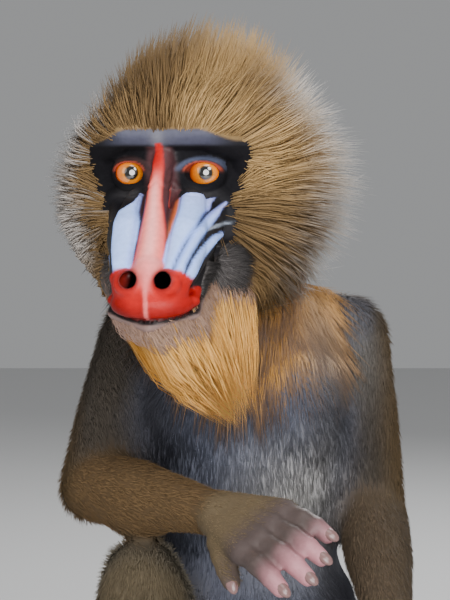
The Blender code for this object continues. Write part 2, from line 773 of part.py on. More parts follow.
def head_lie(point, normal):
    """The way the hair lies on the head: from the face outwards, up to the crest, down the nape."""
    lie = (point - FACE_CENTRE).normalized()
    lie += Vector((0, 0.5, 0.9)) * eased(point.z, 0.030, 0.075) * (1 - eased(point.y, 0.100, 0.130))
    lie += Vector((0, 0.3, -1.2)) * eased(point.y, 0.095, 0.135)
    lie += Vector((0, 0.1, -0.8)) * eased(-point.z, 0.030, 0.075)
    return (lie - normal * lie.dot(normal)).normalized()


def head_locks(core, neighbours):
    """The locks of crest, ruff and nape, in the head's frame."""
    draw = random.Random(SEED)
    surface = tree_of(core)
    locks = []
    for way in spread_ways(HEAD_LOCKS):
        root, normal, _, _ = surface.ray_cast(HAIR_CENTRE + way * 0.3, -way)
        if root is None or not hair_grows(root):
            continue
        if any((root - tree.find_nearest(root)[0]).length < HAIR_CLEARANCE for tree in neighbours):
            continue
        lie = head_lie(root, normal)
        sweep = draw.uniform(0.34, 0.50)
        stray = Vector((draw.uniform(-0.06, 0.06), 0, 0))
        tip_way = ((root - HAIR_CENTRE).normalized() + lie * sweep + stray).normalized()
        tip = HAIR_CENTRE + tip_way * hair_reach(tip_way) * draw.uniform(0.93, 1.03)
        length = (tip - root).length
        middle = root + (normal * 0.75 + lie * 0.25) * length * 0.45
        path = bent_path(root - normal * LOCK_SUNK, middle, tip, len(LOCK_WIDTHS))
        free = [pushed_clear(clear_of_ears(point), neighbours, HAIR_CLEARANCE) for point in path[1:]]
        width = LOCK_WIDTH * draw.uniform(0.85, 1.15)
        locks.append(lock_mesh(path[:1] + free, lie.cross(normal), width, LOCK_THICK))
    return locks


def jaw_locks(core, neighbours):
    """The beard's locks, in the head's frame."""
    draw = random.Random(SEED + 1)
    surface = tree_of(core)
    locks = []
    for way in spread_ways(JAW_LOCKS):
        root, normal, _, _ = surface.ray_cast(JAW_CENTRE + way * 0.2, -way)
        if root is None or normal.z > 0.25 or normal.y > 0.7:
            continue
        lip_line = LIP_FRONT.lerp(LIP_CORNER, (root.y - LIP_FRONT.y) / (LIP_CORNER.y - LIP_FRONT.y))
        if lip_line.z - root.z < BARE_CHIN:
            continue
        spread = (root - JAW_CENTRE) * 0.38
        reach = draw.uniform(0.62, 0.98)
        tip = root.lerp(BEARD_TIP + spread, reach)
        length = (tip - root).length
        middle = root + (normal * 0.7 + Vector((0, 0, -0.5))) * length * 0.35
        path = bent_path(root - normal * LOCK_SUNK, middle, tip, len(LOCK_WIDTHS))
        free = [pushed_clear(point, neighbours, HAIR_CLEARANCE) for point in path[1:]]
        across = (tip - root).cross(normal).normalized()
        width = LOCK_WIDTH * draw.uniform(0.75, 1.0)
        locks.append(lock_mesh(path[:1] + free, across, width, LOCK_THICK))
    return locks


def neck_locks(core, neighbours):
    """The neck mane's locks, which hang over chest, shoulders and back, in the world's frame."""
    draw = random.Random(SEED + 2)
    surface = tree_of(core)
    centre = NECK_MIDDLE.lerp(NECK_TOP, 0.5)
    locks = []
    for index in range(NECK_LOCKS):
        turn = math.pi * (3 - math.sqrt(5)) * index
        out = Vector((math.sin(turn), -math.cos(turn), 0))
        height = NECK_ROOTS[0] + (NECK_ROOTS[1] - NECK_ROOTS[0]) * ((index * 0.618) % 1)
        hit = surface.ray_cast(Vector((centre.x, centre.y, height)) + out * 0.3, -out)
        root, normal = hit[0], hit[1]
        if root is None or normal.z < -0.6 or normal.z > 0.6:
            continue
        front = max(0.0, -out.y)
        length = NECK_LENGTH + (NECK_FRONT_LENGTH - NECK_LENGTH) * front + draw.uniform(-0.008, 0.008)
        fall = (out * (0.75 - 0.45 * front) + Vector((0, 0, -1))).normalized()
        middle = root + (normal * 0.8 + fall * 0.3) * length * 0.45
        tip = root + fall * length + out * 0.012
        path = bent_path(root - normal * LOCK_SUNK, middle, tip, len(LOCK_WIDTHS))
        free = [pushed_clear(point, neighbours, MANE_CLEARANCE) for point in path[1:]]
        across = Vector((0, 0, 1)).cross(out)
        width = LOCK_WIDTH * draw.uniform(1.15, 1.40)
        locks.append(lock_mesh(path[:1] + free, across, width, LOCK_THICK))
    return locks


def placed(mesh):
    """A mesh of the head's frame, set in the world."""
    mesh.transform(HEAD_TO_WORLD)
    return mesh


# Assembly

def build():
    trunk = make_trunk()
    shoulders = []
    part("tail", make_tail(trunk), OLIVE_COAT)
    for side in SIDES:
        upper, lower, hand = make_arm(side, trunk)
        shoulders.append(upper.copy())
        part(f"upper_arm_{side}", upper, OLIVE_COAT)
        part(f"forearm_{side}", lower, OLIVE_COAT)
        part(f"hand_{side}", hand, HAND_SKIN)
        thigh, shin, foot = make_leg(side, trunk, lower, hand)
        part(f"thigh_{side}", thigh, GREY_COAT)
        part(f"shin_{side}", shin, GREY_COAT)
        part(f"foot_{side}", foot, HAND_SKIN)
        part(f"eye_{side}", placed(make_eye(SIDES[side])), AMBER_EYE)
    body, neck = parted(trunk, *NECK_CUT)
    rest, chest = parted(body, *BELLY_CUT)
    pelvis, belly = parted(rest, *PELVIS_CUT)

    core, jaw = make_head()
    ears = {side: make_ear(SIDES[side], core) for side in SIDES}
    to_head = HEAD_TO_WORLD.inverted()
    neck_core = cut_clear(neck, moved(core, HEAD_TO_WORLD))
    around = [tree_of(mesh) for mesh in (chest, *shoulders)]
    mane = fused(neck_core, neck_locks(neck_core, around))
    around = [tree_of(moved(mesh, to_head)) for mesh in (trunk, *shoulders, mane)]
    head = largest_shell(less(fused(core, head_locks(core, around)), jaw_box(GAP * 2)))
    head = cut_clear(placed(cut_clear(head, *ears.values())), chest, *shoulders)
    beard = cut_clear_of_locks(placed(fused(jaw, jaw_locks(jaw, around))), head)
    beard = cut_clear(beard, chest)
    neck = cut_clear(cut_clear_of_locks(mane, head, beard), *shoulders)
    for side in SIDES:
        part(f"ear_{side}", placed(ears[side]), EAR_SKIN)
    part("chest", chest, GREY_COAT)
    part("belly", belly, GREY_COAT)
    part("pelvis", pelvis, OLIVE_COAT)
    part("neck", neck, OLIVE_COAT)
    part("head", head, FACE_SKIN)
    part("lower_jaw", beard, BEARD_COAT)


def set_on_origin():
    """Puts the middle of the model's base at the origin."""
    corners = [v.co for obj in PARTS.objects for v in obj.data.vertices]
    low = Vector([min(c[axis] for c in corners) for axis in range(3)])
    high = Vector([max(c[axis] for c in corners) for axis in range(3)])
    shift = Matrix.Translation((-(low.x + high.x) / 2, -(low.y + high.y) / 2, -low.z))
    for obj in PARTS.objects:
        obj.data.transform(shift)


build()
for helper in list(CUTTERS.objects):
    bpy.data.objects.remove(helper)
set_on_origin()
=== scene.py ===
"""A seated adult male mandrill, life size, as a still museum model.

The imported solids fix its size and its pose. One skin of muscle forms covers the whole body. The
crest, ruff, mane, beard and body coat are joined meshes of thin, tapered tufts that grow from it."""

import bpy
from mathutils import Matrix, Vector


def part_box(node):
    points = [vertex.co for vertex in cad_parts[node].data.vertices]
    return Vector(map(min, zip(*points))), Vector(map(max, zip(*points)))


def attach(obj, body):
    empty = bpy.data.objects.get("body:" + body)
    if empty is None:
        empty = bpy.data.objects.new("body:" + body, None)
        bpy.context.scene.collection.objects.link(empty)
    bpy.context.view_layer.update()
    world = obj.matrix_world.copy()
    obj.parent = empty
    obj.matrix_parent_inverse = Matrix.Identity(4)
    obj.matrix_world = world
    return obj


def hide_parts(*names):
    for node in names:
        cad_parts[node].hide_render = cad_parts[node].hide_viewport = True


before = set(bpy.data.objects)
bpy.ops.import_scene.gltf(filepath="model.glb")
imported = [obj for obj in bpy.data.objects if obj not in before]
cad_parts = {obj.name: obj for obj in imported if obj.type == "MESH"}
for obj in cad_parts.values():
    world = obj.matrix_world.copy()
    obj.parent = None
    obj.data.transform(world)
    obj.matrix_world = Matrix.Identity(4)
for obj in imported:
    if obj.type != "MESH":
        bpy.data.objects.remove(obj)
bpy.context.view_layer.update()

import math

import bmesh
import bpy
import numpy as np
from mathutils import Matrix, Vector
from mathutils.bvhtree import BVHTree
from mathutils.kdtree import KDTree

# The head's skin. Skull, brow, cheeks, muzzle and jaw are muscle forms in the head's own frame:
# its origin is midway between the eyes, -Y is forward and +X is the animal's left. They are
# skinned together, as hide lies over a mount, and then the face is worked into it.
HEAD_TURN = math.radians(-11)
EYE_SPACING = 0.058
EYEBALL_R = 0.0134
LID = 0.0025
MUZZLE_LENGTH = 0.112
MUZZLE_SLOPE = math.radians(48)
HEAD_VOXEL = 0.0015
SIDES = {"right": -1, "left": 1}

eye_middle = (sum(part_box("eye_left"), Vector()) + sum(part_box("eye_right"), Vector())) / 4
HEAD_TO_WORLD = Matrix.Translation(eye_middle) @ Matrix.Rotation(HEAD_TURN, 4, "Z")

BRIDGE_TOP = Vector((0, -0.018, 0.014))
NOSE_TIP = BRIDGE_TOP + MUZZLE_LENGTH * Vector((0, -math.cos(MUZZLE_SLOPE), -math.sin(MUZZLE_SLOPE)))
BROW = (
    (Vector((0, -0.012, 0.026)), 0.0105), (Vector((0.030, -0.012, 0.029)), 0.0108),
    (Vector((0.055, 0.012, 0.018)), 0.0115), (Vector((0.058, 0.030, -0.012)), 0.0140),
)
CHEEK_RIDGE = (
    (Vector((0.020, -0.019, -0.022)), 0.0115), (Vector((0.0207, -0.0505, -0.0475)), 0.0165),
    (Vector((0.0195, -0.076, -0.073)), 0.0135),
)
OUTER_RIDGE = (
    (Vector((0.036, -0.004, -0.030)), 0.0120), (Vector((0.0300, -0.036, -0.052)), 0.0130),
    (Vector((0.0235, -0.064, -0.074)), 0.0095),
)
LIP_FRONT = Vector((0, -0.088, -0.106))
LIP_BEND = Vector((0.030, -0.070, -0.097))
LIP_CORNER = Vector((0.030, -0.024, -0.072))
NOSTRIL = Vector((0.0128, NOSE_TIP.y - 0.004, NOSE_TIP.z - 0.0075))
NOSTRIL_RADII = (0.0060, 0.0100, 0.0050)
NOSTRIL_TILT = 25
EYE_OPENING = (0.0134, 0.0084)


def mirrored(point, side):
    """The point on one side of the head."""
    return Vector((point[0] * side, point[1], point[2]))


def mesh_of(work, name):
    """A mesh from a bmesh, which is freed."""
    mesh = bpy.data.meshes.new(name)
    work.to_mesh(mesh)
    work.free()
    return mesh


def joined_in(work, form):
    """Puts a form that was made by itself into a larger one."""
    mesh = mesh_of(form, "form")
    work.from_mesh(mesh)
    bpy.data.meshes.remove(mesh)


def add_ball(work, centre, radii, tilt=0.0):
    """An ellipsoid, tilted about X by so many degrees."""
    turn = Matrix.Rotation(math.radians(tilt), 4, "X")
    matrix = Matrix.Translation(centre) @ turn @ Matrix.Diagonal((*radii, 1))
    ball = bmesh.new()
    bmesh.ops.create_uvsphere(ball, u_segments=28, v_segments=18, radius=1, matrix=matrix)
    joined_in(work, ball)


def add_limb(work, chain):
    """Tapered limbs with round ends through the chain's points, each (point, radius)."""
    for point, radius in chain:
        add_ball(work, Vector(point), (radius,) * 3)
    for (start, r_start), (end, r_end) in zip(chain, chain[1:]):
        start, end = Vector(start), Vector(end)
        along = end - start
        turn = Vector((0, 0, 1)).rotation_difference(along).to_matrix().to_4x4()
        cone = bmesh.new()
        bmesh.ops.create_cone(
            cone, cap_ends=True, segments=28, radius1=r_start, radius2=r_end, depth=along.length,
            matrix=Matrix.Translation((start + end) / 2) @ turn,
        )
        joined_in(work, cone)


def shown(name, mesh):
    """A new object at the origin."""
    made = bpy.data.objects.new(name, mesh)
    bpy.context.scene.collection.objects.link(made)
    return made


def finished_mesh(obj):
    """The mesh that an object's modifiers make. The object is removed."""
    mesh = bpy.data.meshes.new_from_object(obj.evaluated_get(bpy.context.evaluated_depsgraph_get()))
    bpy.data.objects.remove(obj)
    return mesh


def skin_over(mesh, voxel, rounds):
    """One smooth closed skin over overlapping forms."""
    holder = shown("forms", mesh)
    remesh = holder.modifiers.new("skin", "REMESH")
    remesh.mode = "VOXEL"
    remesh.voxel_size = voxel
    smooth = holder.modifiers.new("smooth", "SMOOTH")
    smooth.factor = 0.5
    smooth.iterations = rounds
    return finished_mesh(holder)


def combined(mesh, other, operation):
    """The Boolean of two closed meshes."""
    tool = shown("tool", other)
    holder = shown("holder", mesh)
    join = holder.modifiers.new("boolean", "BOOLEAN")
    join.operation = operation
    join.solver = "MANIFOLD"
    join.object = tool
    result = finished_mesh(holder)
    bpy.data.objects.remove(tool)
    return result


def largest_shell(mesh):
    """The mesh without any closed surface that lies inside it."""
    work = bmesh.new()
    work.from_mesh(mesh)
    seen = set()
    shells = []
    for start in work.verts:
        if start in seen:
            continue
        shell = [start]
        seen.add(start)
        for vert in shell:
            for edge in vert.link_edges:
                other = edge.other_vert(vert)
                if other not in seen:
                    seen.add(other)
                    shell.append(other)
        shells.append(shell)
    shells.sort(key=len)
    inner = [vert for shell in shells[:-1] for vert in shell]
    bmesh.ops.delete(work, geom=inner, context="VERTS")
    return mesh_of(work, mesh.name)


def places(mesh):
    """The mesh's corners as an array."""
    flat = np.empty(len(mesh.vertices) * 3, np.float32)
    mesh.vertices.foreach_get("co", flat)
    return flat.reshape(-1, 3).astype(float)


def facings(mesh):
    """The normals at the mesh's corners as an array."""
    flat = np.empty(len(mesh.vertices) * 3, np.float32)
    mesh.vertex_normals.foreach_get("vector", flat)
    return flat.reshape(-1, 3).astype(float)


def set_places(mesh, co):
    """Moves the mesh's corners to the places of an array."""
    mesh.vertices.foreach_set("co", co.astype(np.float32).ravel())
    mesh.update()


def eased(value, low, high):
    """0 below low, 1 above high, and a smooth rise between."""
    share = np.clip((value - low) / (high - low), 0.0, 1.0)
    return share * share * (3 - 2 * share)


def unit(vectors):
    """The vectors at a length of one."""
    return vectors / np.maximum(np.linalg.norm(vectors, axis=-1, keepdims=True), 1e-9)


def bump_at(co, spot, size):
    """A smooth hill of height 1 round a spot, as wide as the size."""
    return np.exp(-((co - np.asarray(spot)) ** 2).sum(-1) / (size * size))


def lip_height(co):
    """How far a place of the head's frame lies above the line of the mouth."""
    return co[:, 2] - np.interp(-co[:, 1], (0.024, 0.070, 0.088), (-0.072, -0.097, -0.106))


MUZZLE_START = np.array((0, 0.010, -0.040))
MUZZLE_ALONG = unit(np.array((0, -0.75, -0.66)))
MUZZLE_UP = np.array((0, MUZZLE_ALONG[2], -MUZZLE_ALONG[1]))
MUZZLE_SET = 0.0045


def muzzle_shift(co):
    """How far the muzzle is set towards the animal's left, more and more towards its tip."""
    along = (co - MUZZLE_START) @ MUZZLE_ALONG * 1000
    return MUZZLE_SET * eased(along, 5, 90)


def muzzle_chart(co):
    """Places on the muzzle: millimetres down its axis, and degrees round it from the top."""
    away = co - MUZZLE_START
    along = away @ MUZZLE_ALONG * 1000
    round_it = np.degrees(np.arctan2(np.abs(away[:, 0]), away @ MUZZLE_UP))
    return along, round_it


# The ridges of each cheek, as rows of millimetres down the muzzle, degrees round it and half width
RIDGES = {
    "right": (
        ((10, 20, 0.4), (20, 20, 1.6), (27, 20.5, 3), (33.6, 22.8, 5.8), (37, 24.8, 8.4),
         (48.6, 23.4, 10.2), (66, 24.6, 10.8), (76, 25.7, 9.8), (95, 24.6, 7.8), (99, 24.6, 4)),
        ((24, 86, 0.1), (34, 80, 3.0), (50, 71, 4.0), (72, 62, 4.2), (92, 55, 4.0), (98, 54, 2)),
    ),
    "left": (
        ((-2, 53.8, 0.2), (5, 46, 5.5), (11.6, 39.5, 11.5), (15.9, 34.5, 15), (20, 33, 13.4),
         (36, 29, 10), (55, 24.8, 8.6), (70, 20.6, 7), (87, 18, 5.3), (95, 17.9, 4.8), (99, 17.9, 2)),
        ((0, 62, 0.1), (2, 61.8, 1.0), (16.5, 55.8, 3.6), (34, 47.6, 4.8), (57, 37.2, 4.3), (75, 31.8, 4.0),
         (87, 29.0, 4.2), (95, 29.0, 4.4), (99, 29.0, 2)),
        ((17, 79, 0.1), (24, 73, 3), (41, 60, 4.2), (65, 48, 5.2), (80, 43, 5.6), (93, 40.5, 5.2),
         (98, 40, 2)),
    ),
}
THIN_STRIPE = ((9, 77.5, 0.1), (13, 72.5, 1.7), (24, 62.5, 1.7), (33, 54.5, 1.5), (42, 47.5, 0.1))


def beyond_ridge(along, round_it, rows):
    """How many degrees a place lies outside a ridge's edge: less than 0 on the ridge."""
    table = np.array(rows, float)
    middle = np.interp(along, table[:, 0], table[:, 1])
    half = np.interp(along, table[:, 0], table[:, 2])
    past = np.maximum(table[0, 0] - along, along - table[-1, 0])
    return np.maximum(np.abs(round_it - middle) - half, past * 1.8)


def make_head_forms():
    """The muscle forms of the head, overlapping, in its own frame."""
    work = bmesh.new()
    add_ball(work, Vector((0, 0.055, 0.000)), (0.060, 0.076, 0.054))
    add_ball(work, Vector((0.003, 0.074, 0.030)), (0.062, 0.068, 0.052))
    add_ball(work, Vector((0, 0.098, -0.004)), (0.068, 0.054, 0.068))
    add_ball(work, NOSE_TIP + Vector((0, 0.013, -0.014)), (0.0290, 0.0160, 0.0190), -10)
    add_ball(work, NOSE_TIP + Vector((0, 0.018, -0.026)), (0.0310, 0.0200, 0.0160))
    nose = NOSE_TIP + Vector((0, 0.0105, -0.002))
    bridge = BRIDGE_TOP + Vector((0, 0.006, 0))
    add_limb(work, [(bridge, 0.0085), (BRIDGE_TOP.lerp(nose, 0.5), 0.0090), (nose, 0.0125)])
    add_limb(work, [((0, 0.012, -0.038), 0.040), ((0, -0.054, -0.082), 0.0255)])
    add_limb(work, [((0, 0.030, -0.078), 0.036), ((0, -0.060, -0.113), 0.0185)])
    for side in SIDES.values():
        add_ball(work, mirrored((0.050, 0.054, -0.030), side), (0.038, 0.052, 0.058))
        add_ball(work, mirrored((0.038, 0.014, -0.034), side), (0.024, 0.026, 0.026))
        add_ball(work, mirrored((0.036, 0.022, -0.078), side), (0.025, 0.036, 0.030))
        add_ball(work, mirrored((0.014, 0.000, -0.012), side), (0.012, 0.014, 0.016))
        wing = mirrored((0.0140, NOSE_TIP.y + 0.004, NOSE_TIP.z - 0.010), side)
        add_ball(work, wing, (0.0115, 0.0100, 0.0105))
        add_ball(work, mirrored((EYE_SPACING / 2, 0.001, 0), side), (EYEBALL_R + LID,) * 3)
        for chain in (BROW, CHEEK_RIDGE, OUTER_RIDGE):
            add_limb(work, [(mirrored(point, side), radius) for point, radius in chain])
        for drop, radius in ((0.0042, 0.0050), (-0.0052, 0.0048)):
            down = Vector((0, 0, drop))
            chain = [(LIP_FRONT + Vector((0, 0.003, drop)), radius)]
            chain.append((mirrored(LIP_BEND, side) + down, radius))
            chain.append((mirrored(LIP_CORNER, side) + down, radius * 0.8))
            add_limb(work, chain)
    return mesh_of(work, "head_forms")


def worked_face(co, normals):
    """The skin's places once ridges, grooves, mouth, folds and lids are worked in."""
    along, round_it = muzzle_chart(co)
    rise = np.zeros(len(co))
    for name, side in SIDES.items():
        for rows in RIDGES[name]:
            crest = eased(-beyond_ridge(along, round_it, rows), -0.8, 2.6) * (co[:, 0] * side > 0)
            rise = np.maximum(rise, crest)
    on_cheek = eased(along, -6, 8) * (1 - eased(along, 88, 98))
    on_cheek *= eased(round_it, 13, 19) * (1 - eased(round_it, 72, 90)) * (co[:, 1] < 0.012)
    height = on_cheek * (rise * 0.0030 - 0.0014)
    mouth = np.exp(-((lip_height(co) + 0.0005) / 0.0014) ** 2) * (co[:, 1] < -0.022)
    height -= 0.0034 * mouth * (1 - eased(np.abs(co[:, 0]), 0.034, 0.042))
    philtrum = np.exp(-(co[:, 0] / 0.0035) ** 2) * eased(-co[:, 2], 0.078, 0.086)
    philtrum *= 1 - eased(-co[:, 2], 0.100, 0.108)
    height += 0.0016 * philtrum * (co[:, 1] < -0.06)
    for side in SIDES.values():
        eye = np.array((EYE_SPACING / 2 * side, 0, 0))
        near = co - eye
        ring = np.hypot(near[:, 0] / EYE_OPENING[0], near[:, 2] / EYE_OPENING[1])
        front = eased(-near[:, 1], 0.002, 0.008)
        below = eased(-near[:, 2], -0.001, 0.006)
        height -= 0.0011 * front * below * np.exp(-((ring - 1.75) / 0.12) ** 2)
        height -= 0.0008 * front * below * np.exp(-((ring - 2.15) / 0.10) ** 2)
        height -= 0.0014 * front * (1 - below) * np.exp(-((ring - 1.62) / 0.10) ** 2)
    worked = co + normals * height[:, None]
    worked[:, 0] += muzzle_shift(co)
    return worked


head_skin = skin_over(make_head_forms(), HEAD_VOXEL, 4)
set_places(head_skin, worked_face(places(head_skin), facings(head_skin)))


def ball_mesh(centre, radii, tilt=0.0):
    """A closed ellipsoid."""
    work = bmesh.new()
    add_ball(work, centre, radii, tilt)
    return mesh_of(work, "ball")


for side in SIDES.values():
    eye = mirrored((EYE_SPACING / 2, 0, 0), side)
    head_skin = combined(head_skin, ball_mesh(eye, (EYEBALL_R + 0.0001,) * 3), "DIFFERENCE")
    opening = (EYE_OPENING[0], 0.014, EYE_OPENING[1])
    head_skin = combined(head_skin, ball_mesh(eye + Vector((0, -0.014, 0)), opening), "DIFFERENCE")
    nostril = mirrored(NOSTRIL, side) + Vector((MUZZLE_SET, 0, 0))
    head_skin = combined(head_skin, ball_mesh(nostril, NOSTRIL_RADII, NOSTRIL_TILT), "DIFFERENCE")
head_skin.transform(HEAD_TO_WORLD)

# The body's skin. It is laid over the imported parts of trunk, tail, limbs, hands, feet and ears,
# inside them by the coat's depth, and is joined to the head's at the neck.
BODY_VOXEL = 0.0044
GAP = 0.0003
CREASE_FILL = 0.011
TRUNK_FILL = 0.026
TRUNK = ["chest", "belly", "pelvis"]
EAR_VOXEL = 0.0013
EAR_GROWTH = 0.0004
FLOOR_CLEARANCE = 0.0002
FLOOR_EASE = (0.004, 0.020)
CONTACT_EASE = (0.012, 0.045)
NECK_CHAIN = ((Vector((0.058, 0.170, -0.170)), 0.066), (Vector((0.040, 0.135, -0.100)), 0.056),
              (Vector((0.016, 0.085, -0.035)), 0.050))
COAT_DEPTH = {"chest": 0.007, "belly": 0.007, "pelvis": 0.006, "tail": 0.004, "upper_arm": 0.006,
              "forearm": 0.005, "thigh": 0.006, "shin": 0.005, "hand": 0.005, "foot": 0.004}

EYES_ABOVE_BASE = Vector((-0.058, -0.125, 0.600))
base = eye_middle - EYES_ABOVE_BASE
ELBOW = {"right": Vector((-0.122, -0.060, 0.346)), "left": Vector((0.108, -0.030, 0.316))}
WRIST = {"right": Vector((-0.018, -0.212, 0.353)), "left": Vector((0.108, -0.195, 0.260))}
KNEE = {"right": Vector((-0.078, -0.132, 0.275)), "left": Vector((0.118, -0.182, 0.200))}
ANKLE = {"right": Vector((-0.090, -0.166, 0.050)), "left": Vector((0.138, -0.312, 0.050))}
HAND_ALONG = {"right": Vector((0.62, -0.78, -0.10)), "left": Vector((0.02, -0.96, -0.27))}
HAND_BACK = {"right": Vector((-0.30, -0.42, 0.83)), "left": Vector((0.0, -0.27, 0.96))}
FINGER_CURL = {"right": (10, 12, 14), "left": (46, 30, 12)}
FINGER_LENGTHS = (0.042, 0.047, 0.045, 0.037)
FINGER_SPACING = 0.0150
FINGER_R = 0.0078
PALM_LENGTH = 0.054
FOOT_SPREAD = {"right": 0.10, "left": 0.20}
FOOT_LENGTH = 0.100
HEEL_HEIGHT = 0.0175
TOE_LENGTHS = (0.044, 0.050, 0.047, 0.040)
TOE_SPACING = 0.0145
TOE_R = 0.0080
TOE_HEIGHT = 0.0055
HAND_VOXEL = 0.0021

body_nodes = [*TRUNK, "tail"]
for name in ("upper_arm", "forearm", "hand", "thigh", "shin", "foot"):
    body_nodes += [f"{name}_right", f"{name}_left"]
nails = []


def limb_name(node):
    """A node's name without its side."""
    return node.removesuffix("_right").removesuffix("_left")


# Groups of parts between which the creases are filled, so that waist, shoulders, elbows, hips and
# knees are smooth. The last group fills the waist further.
JOINED_PARTS = [[*TRUNK, "tail", "upper_arm_right", "upper_arm_left"]]
for side in SIDES:
    JOINED_PARTS.append([f"upper_arm_{side}", f"forearm_{side}"])
    JOINED_PARTS.append(["pelvis", f"thigh_{side}", f"shin_{side}"])
JOINED_PARTS.append(TRUNK)


def part_forms(nodes):
    """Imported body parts, grown until they touch."""
    work = bmesh.new()
    for node in nodes:
        grown = bmesh.new()
        grown.from_mesh(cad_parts[node].data)
        bmesh.ops.remove_doubles(grown, verts=grown.verts, dist=1e-6)
        grown.normal_update()
        outward = [(vert, vert.normal.copy()) for vert in grown.verts]
        for vert, normal in outward:
            vert.co += normal * GAP * 1.5
        joined_in(work, grown)
    return work


def limb_axes(along, back):
    """Unit axes of a hand or foot: along it, out of its back and across it."""
    along = along.normalized()
    back = (back - along * back.dot(along)).normalized()
    return along, back, along.cross(back)


def add_digit(work, root, along, back, length, radius, curls):
    """A digit of three bones, each bent further towards the palm. Its nail's place is kept."""
    chain = [(root, radius)]
    angle = 0.0
    point = root
    for share, curl, taper in zip((0.42, 0.32, 0.26), curls, (1.0, 0.92, 0.80)):
        angle += math.radians(curl)
        heading = along * math.cos(angle) - back * math.sin(angle)
        point = point + heading * length * share
        chain.append((point, radius * taper))
    add_limb(work, chain)
    for point, girth in chain[:-1]:
        add_ball(work, point, (girth * 1.07,) * 3)
    outside = back * math.cos(angle) + along * math.sin(angle)
    nails.append((chain[-1][0], heading, outside, chain[-1][1]))


def make_hand(side):
    """A hand's palm, knuckles, four fingers and thumb, with the end of the wrist."""
    work = bmesh.new()
    along, back, across = limb_axes(HAND_ALONG[side], HAND_BACK[side])
    outward = across * SIDES[side]
    wrist = base + WRIST[side]
    for index, length in enumerate(FINGER_LENGTHS):
        place = (index - 1.5) * FINGER_SPACING
        knuckle = wrist + along * (PALM_LENGTH - 0.003 * abs(index - 1)) + outward * place
        add_limb(work, [(wrist + outward * place * 0.30, 0.0125), (knuckle, 0.0100)])
        fan = (along + outward * (index - 1.5) * 0.09).normalized()
        add_digit(work, knuckle, fan, back, length, FINGER_R, FINGER_CURL[side])
    thumb = wrist + along * 0.018 - outward * 0.020 - back * 0.004
    thumb_way = (along * 0.80 - outward * 0.52 - back * 0.30).normalized()
    add_digit(work, thumb, thumb_way, back, 0.032, 0.0085, (0, 12, 10))
    way = (base + WRIST[side] - base - ELBOW[side]).normalized()
    add_limb(work, [(wrist - way * 0.030, 0.0150), (wrist, 0.0165)])
    return skin_over(mesh_of(work, "hand"), HAND_VOXEL, 3)


def make_foot(side):
    """A foot's sole, heel, four toes and the big toe that stands off like a thumb."""
    work = bmesh.new()
    along, back, _ = limb_axes(Vector((FOOT_SPREAD[side] * SIDES[side], -1, 0)), Vector((0, 0, 1)))
    outward = Vector((SIDES[side], 0, 0))
    outward = (outward - along * outward.dot(along)).normalized()
    ankle = base + ANKLE[side]
    heel = Vector((ankle.x, ankle.y, HEEL_HEIGHT)) - along * 0.022
    add_limb(work, [(ankle, 0.0200), (heel, 0.0195)])
    for index, length in enumerate(TOE_LENGTHS):
        place = (index - 1.5) * TOE_SPACING
        root = heel + along * FOOT_LENGTH + outward * place
        root.z = TOE_HEIGHT + 0.004
        add_limb(work, [(heel + along * 0.012 + outward * place * 0.3, 0.0175), (root, 0.0112)])
        ball = heel + along * 0.060 + outward * place * 0.6
        add_limb(work, [(ankle - along * 0.002, 0.0195), (ball, 0.0150)])
        fan = (along + outward * (index - 1.5) * 0.12).normalized()
        add_digit(work, Vector((root.x, root.y, TOE_HEIGHT + 0.003)), fan, back, length, TOE_R, (4, 2, 0))
    big_root = heel + along * 0.040 - outward * 0.012
    big_root.z = TOE_HEIGHT + 0.006
    big_way = (along * 0.80 - outward * 0.62).normalized()
    add_digit(work, big_root, big_way, back, 0.058, 0.0110, (4, 2, 0))
    way = (ANKLE[side] - KNEE[side]).normalized()
    add_limb(work, [(ankle - way * 0.035, 0.0195), (ankle, 0.0200)])
    return skin_over(mesh_of(work, "foot"), HAND_VOXEL, 3)


def neighbours_mean(mesh, values, rounds):
    """Values at the corners, each mixed with its neighbours' mean so many times."""
    ends = np.empty(len(mesh.edges) * 2, np.int32)
    mesh.edges.foreach_get("vertices", ends)
    first, second = ends.reshape(-1, 2).T
    count = np.bincount(ends, minlength=len(mesh.vertices))
    for _ in range(rounds):
        for column in range(values.shape[1]):
            value = values[:, column]
            total = np.bincount(first, value[second], len(count))
            total = total + np.bincount(second, value[first], len(count))
            values[:, column] = 0.4 * value + 0.6 * total / np.maximum(count, 1)
    return values


def node_shares(mesh, rounds):
    """How much each corner of a mesh belongs to each body node, smooth across their seams."""
    corners, faces, owners = [], [], []
    for index, node in enumerate(body_nodes):
        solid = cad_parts[node].data
        faces += [[corner + len(corners) for corner in face.vertices] for face in solid.polygons]
        owners += [index] * len(solid.polygons)
        corners += [vertex.co for vertex in solid.vertices]
    tree = BVHTree.FromPolygons(corners, faces)
    shares = np.zeros((len(mesh.vertices), len(body_nodes)))
    for index, vertex in enumerate(mesh.vertices):
        shares[index, owners[tree.find_nearest(vertex.co)[2]]] = 1
    return neighbours_mean(mesh, shares, rounds)


def share_of(shares, *nodes):
    """How much each place belongs to the named body nodes together."""
    return sum(shares[:, body_nodes.index(node)] for node in nodes)


def grown_by(mesh, depth):
    """The mesh with its surface moved outwards."""
    set_places(mesh, places(mesh) + facings(mesh) * depth)
    return mesh


def contact_place(node, other):
    """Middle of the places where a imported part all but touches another."""
    form = bmesh.new()
    form.from_mesh(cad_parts[other].data)
    tree = BVHTree.FromBMesh(form)
    spots = places(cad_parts[node].data)
    gaps = np.array([tree.find_nearest(spot)[3] for spot in spots])
    return spots[gaps < gaps.min() + 0.001].mean(axis=0)


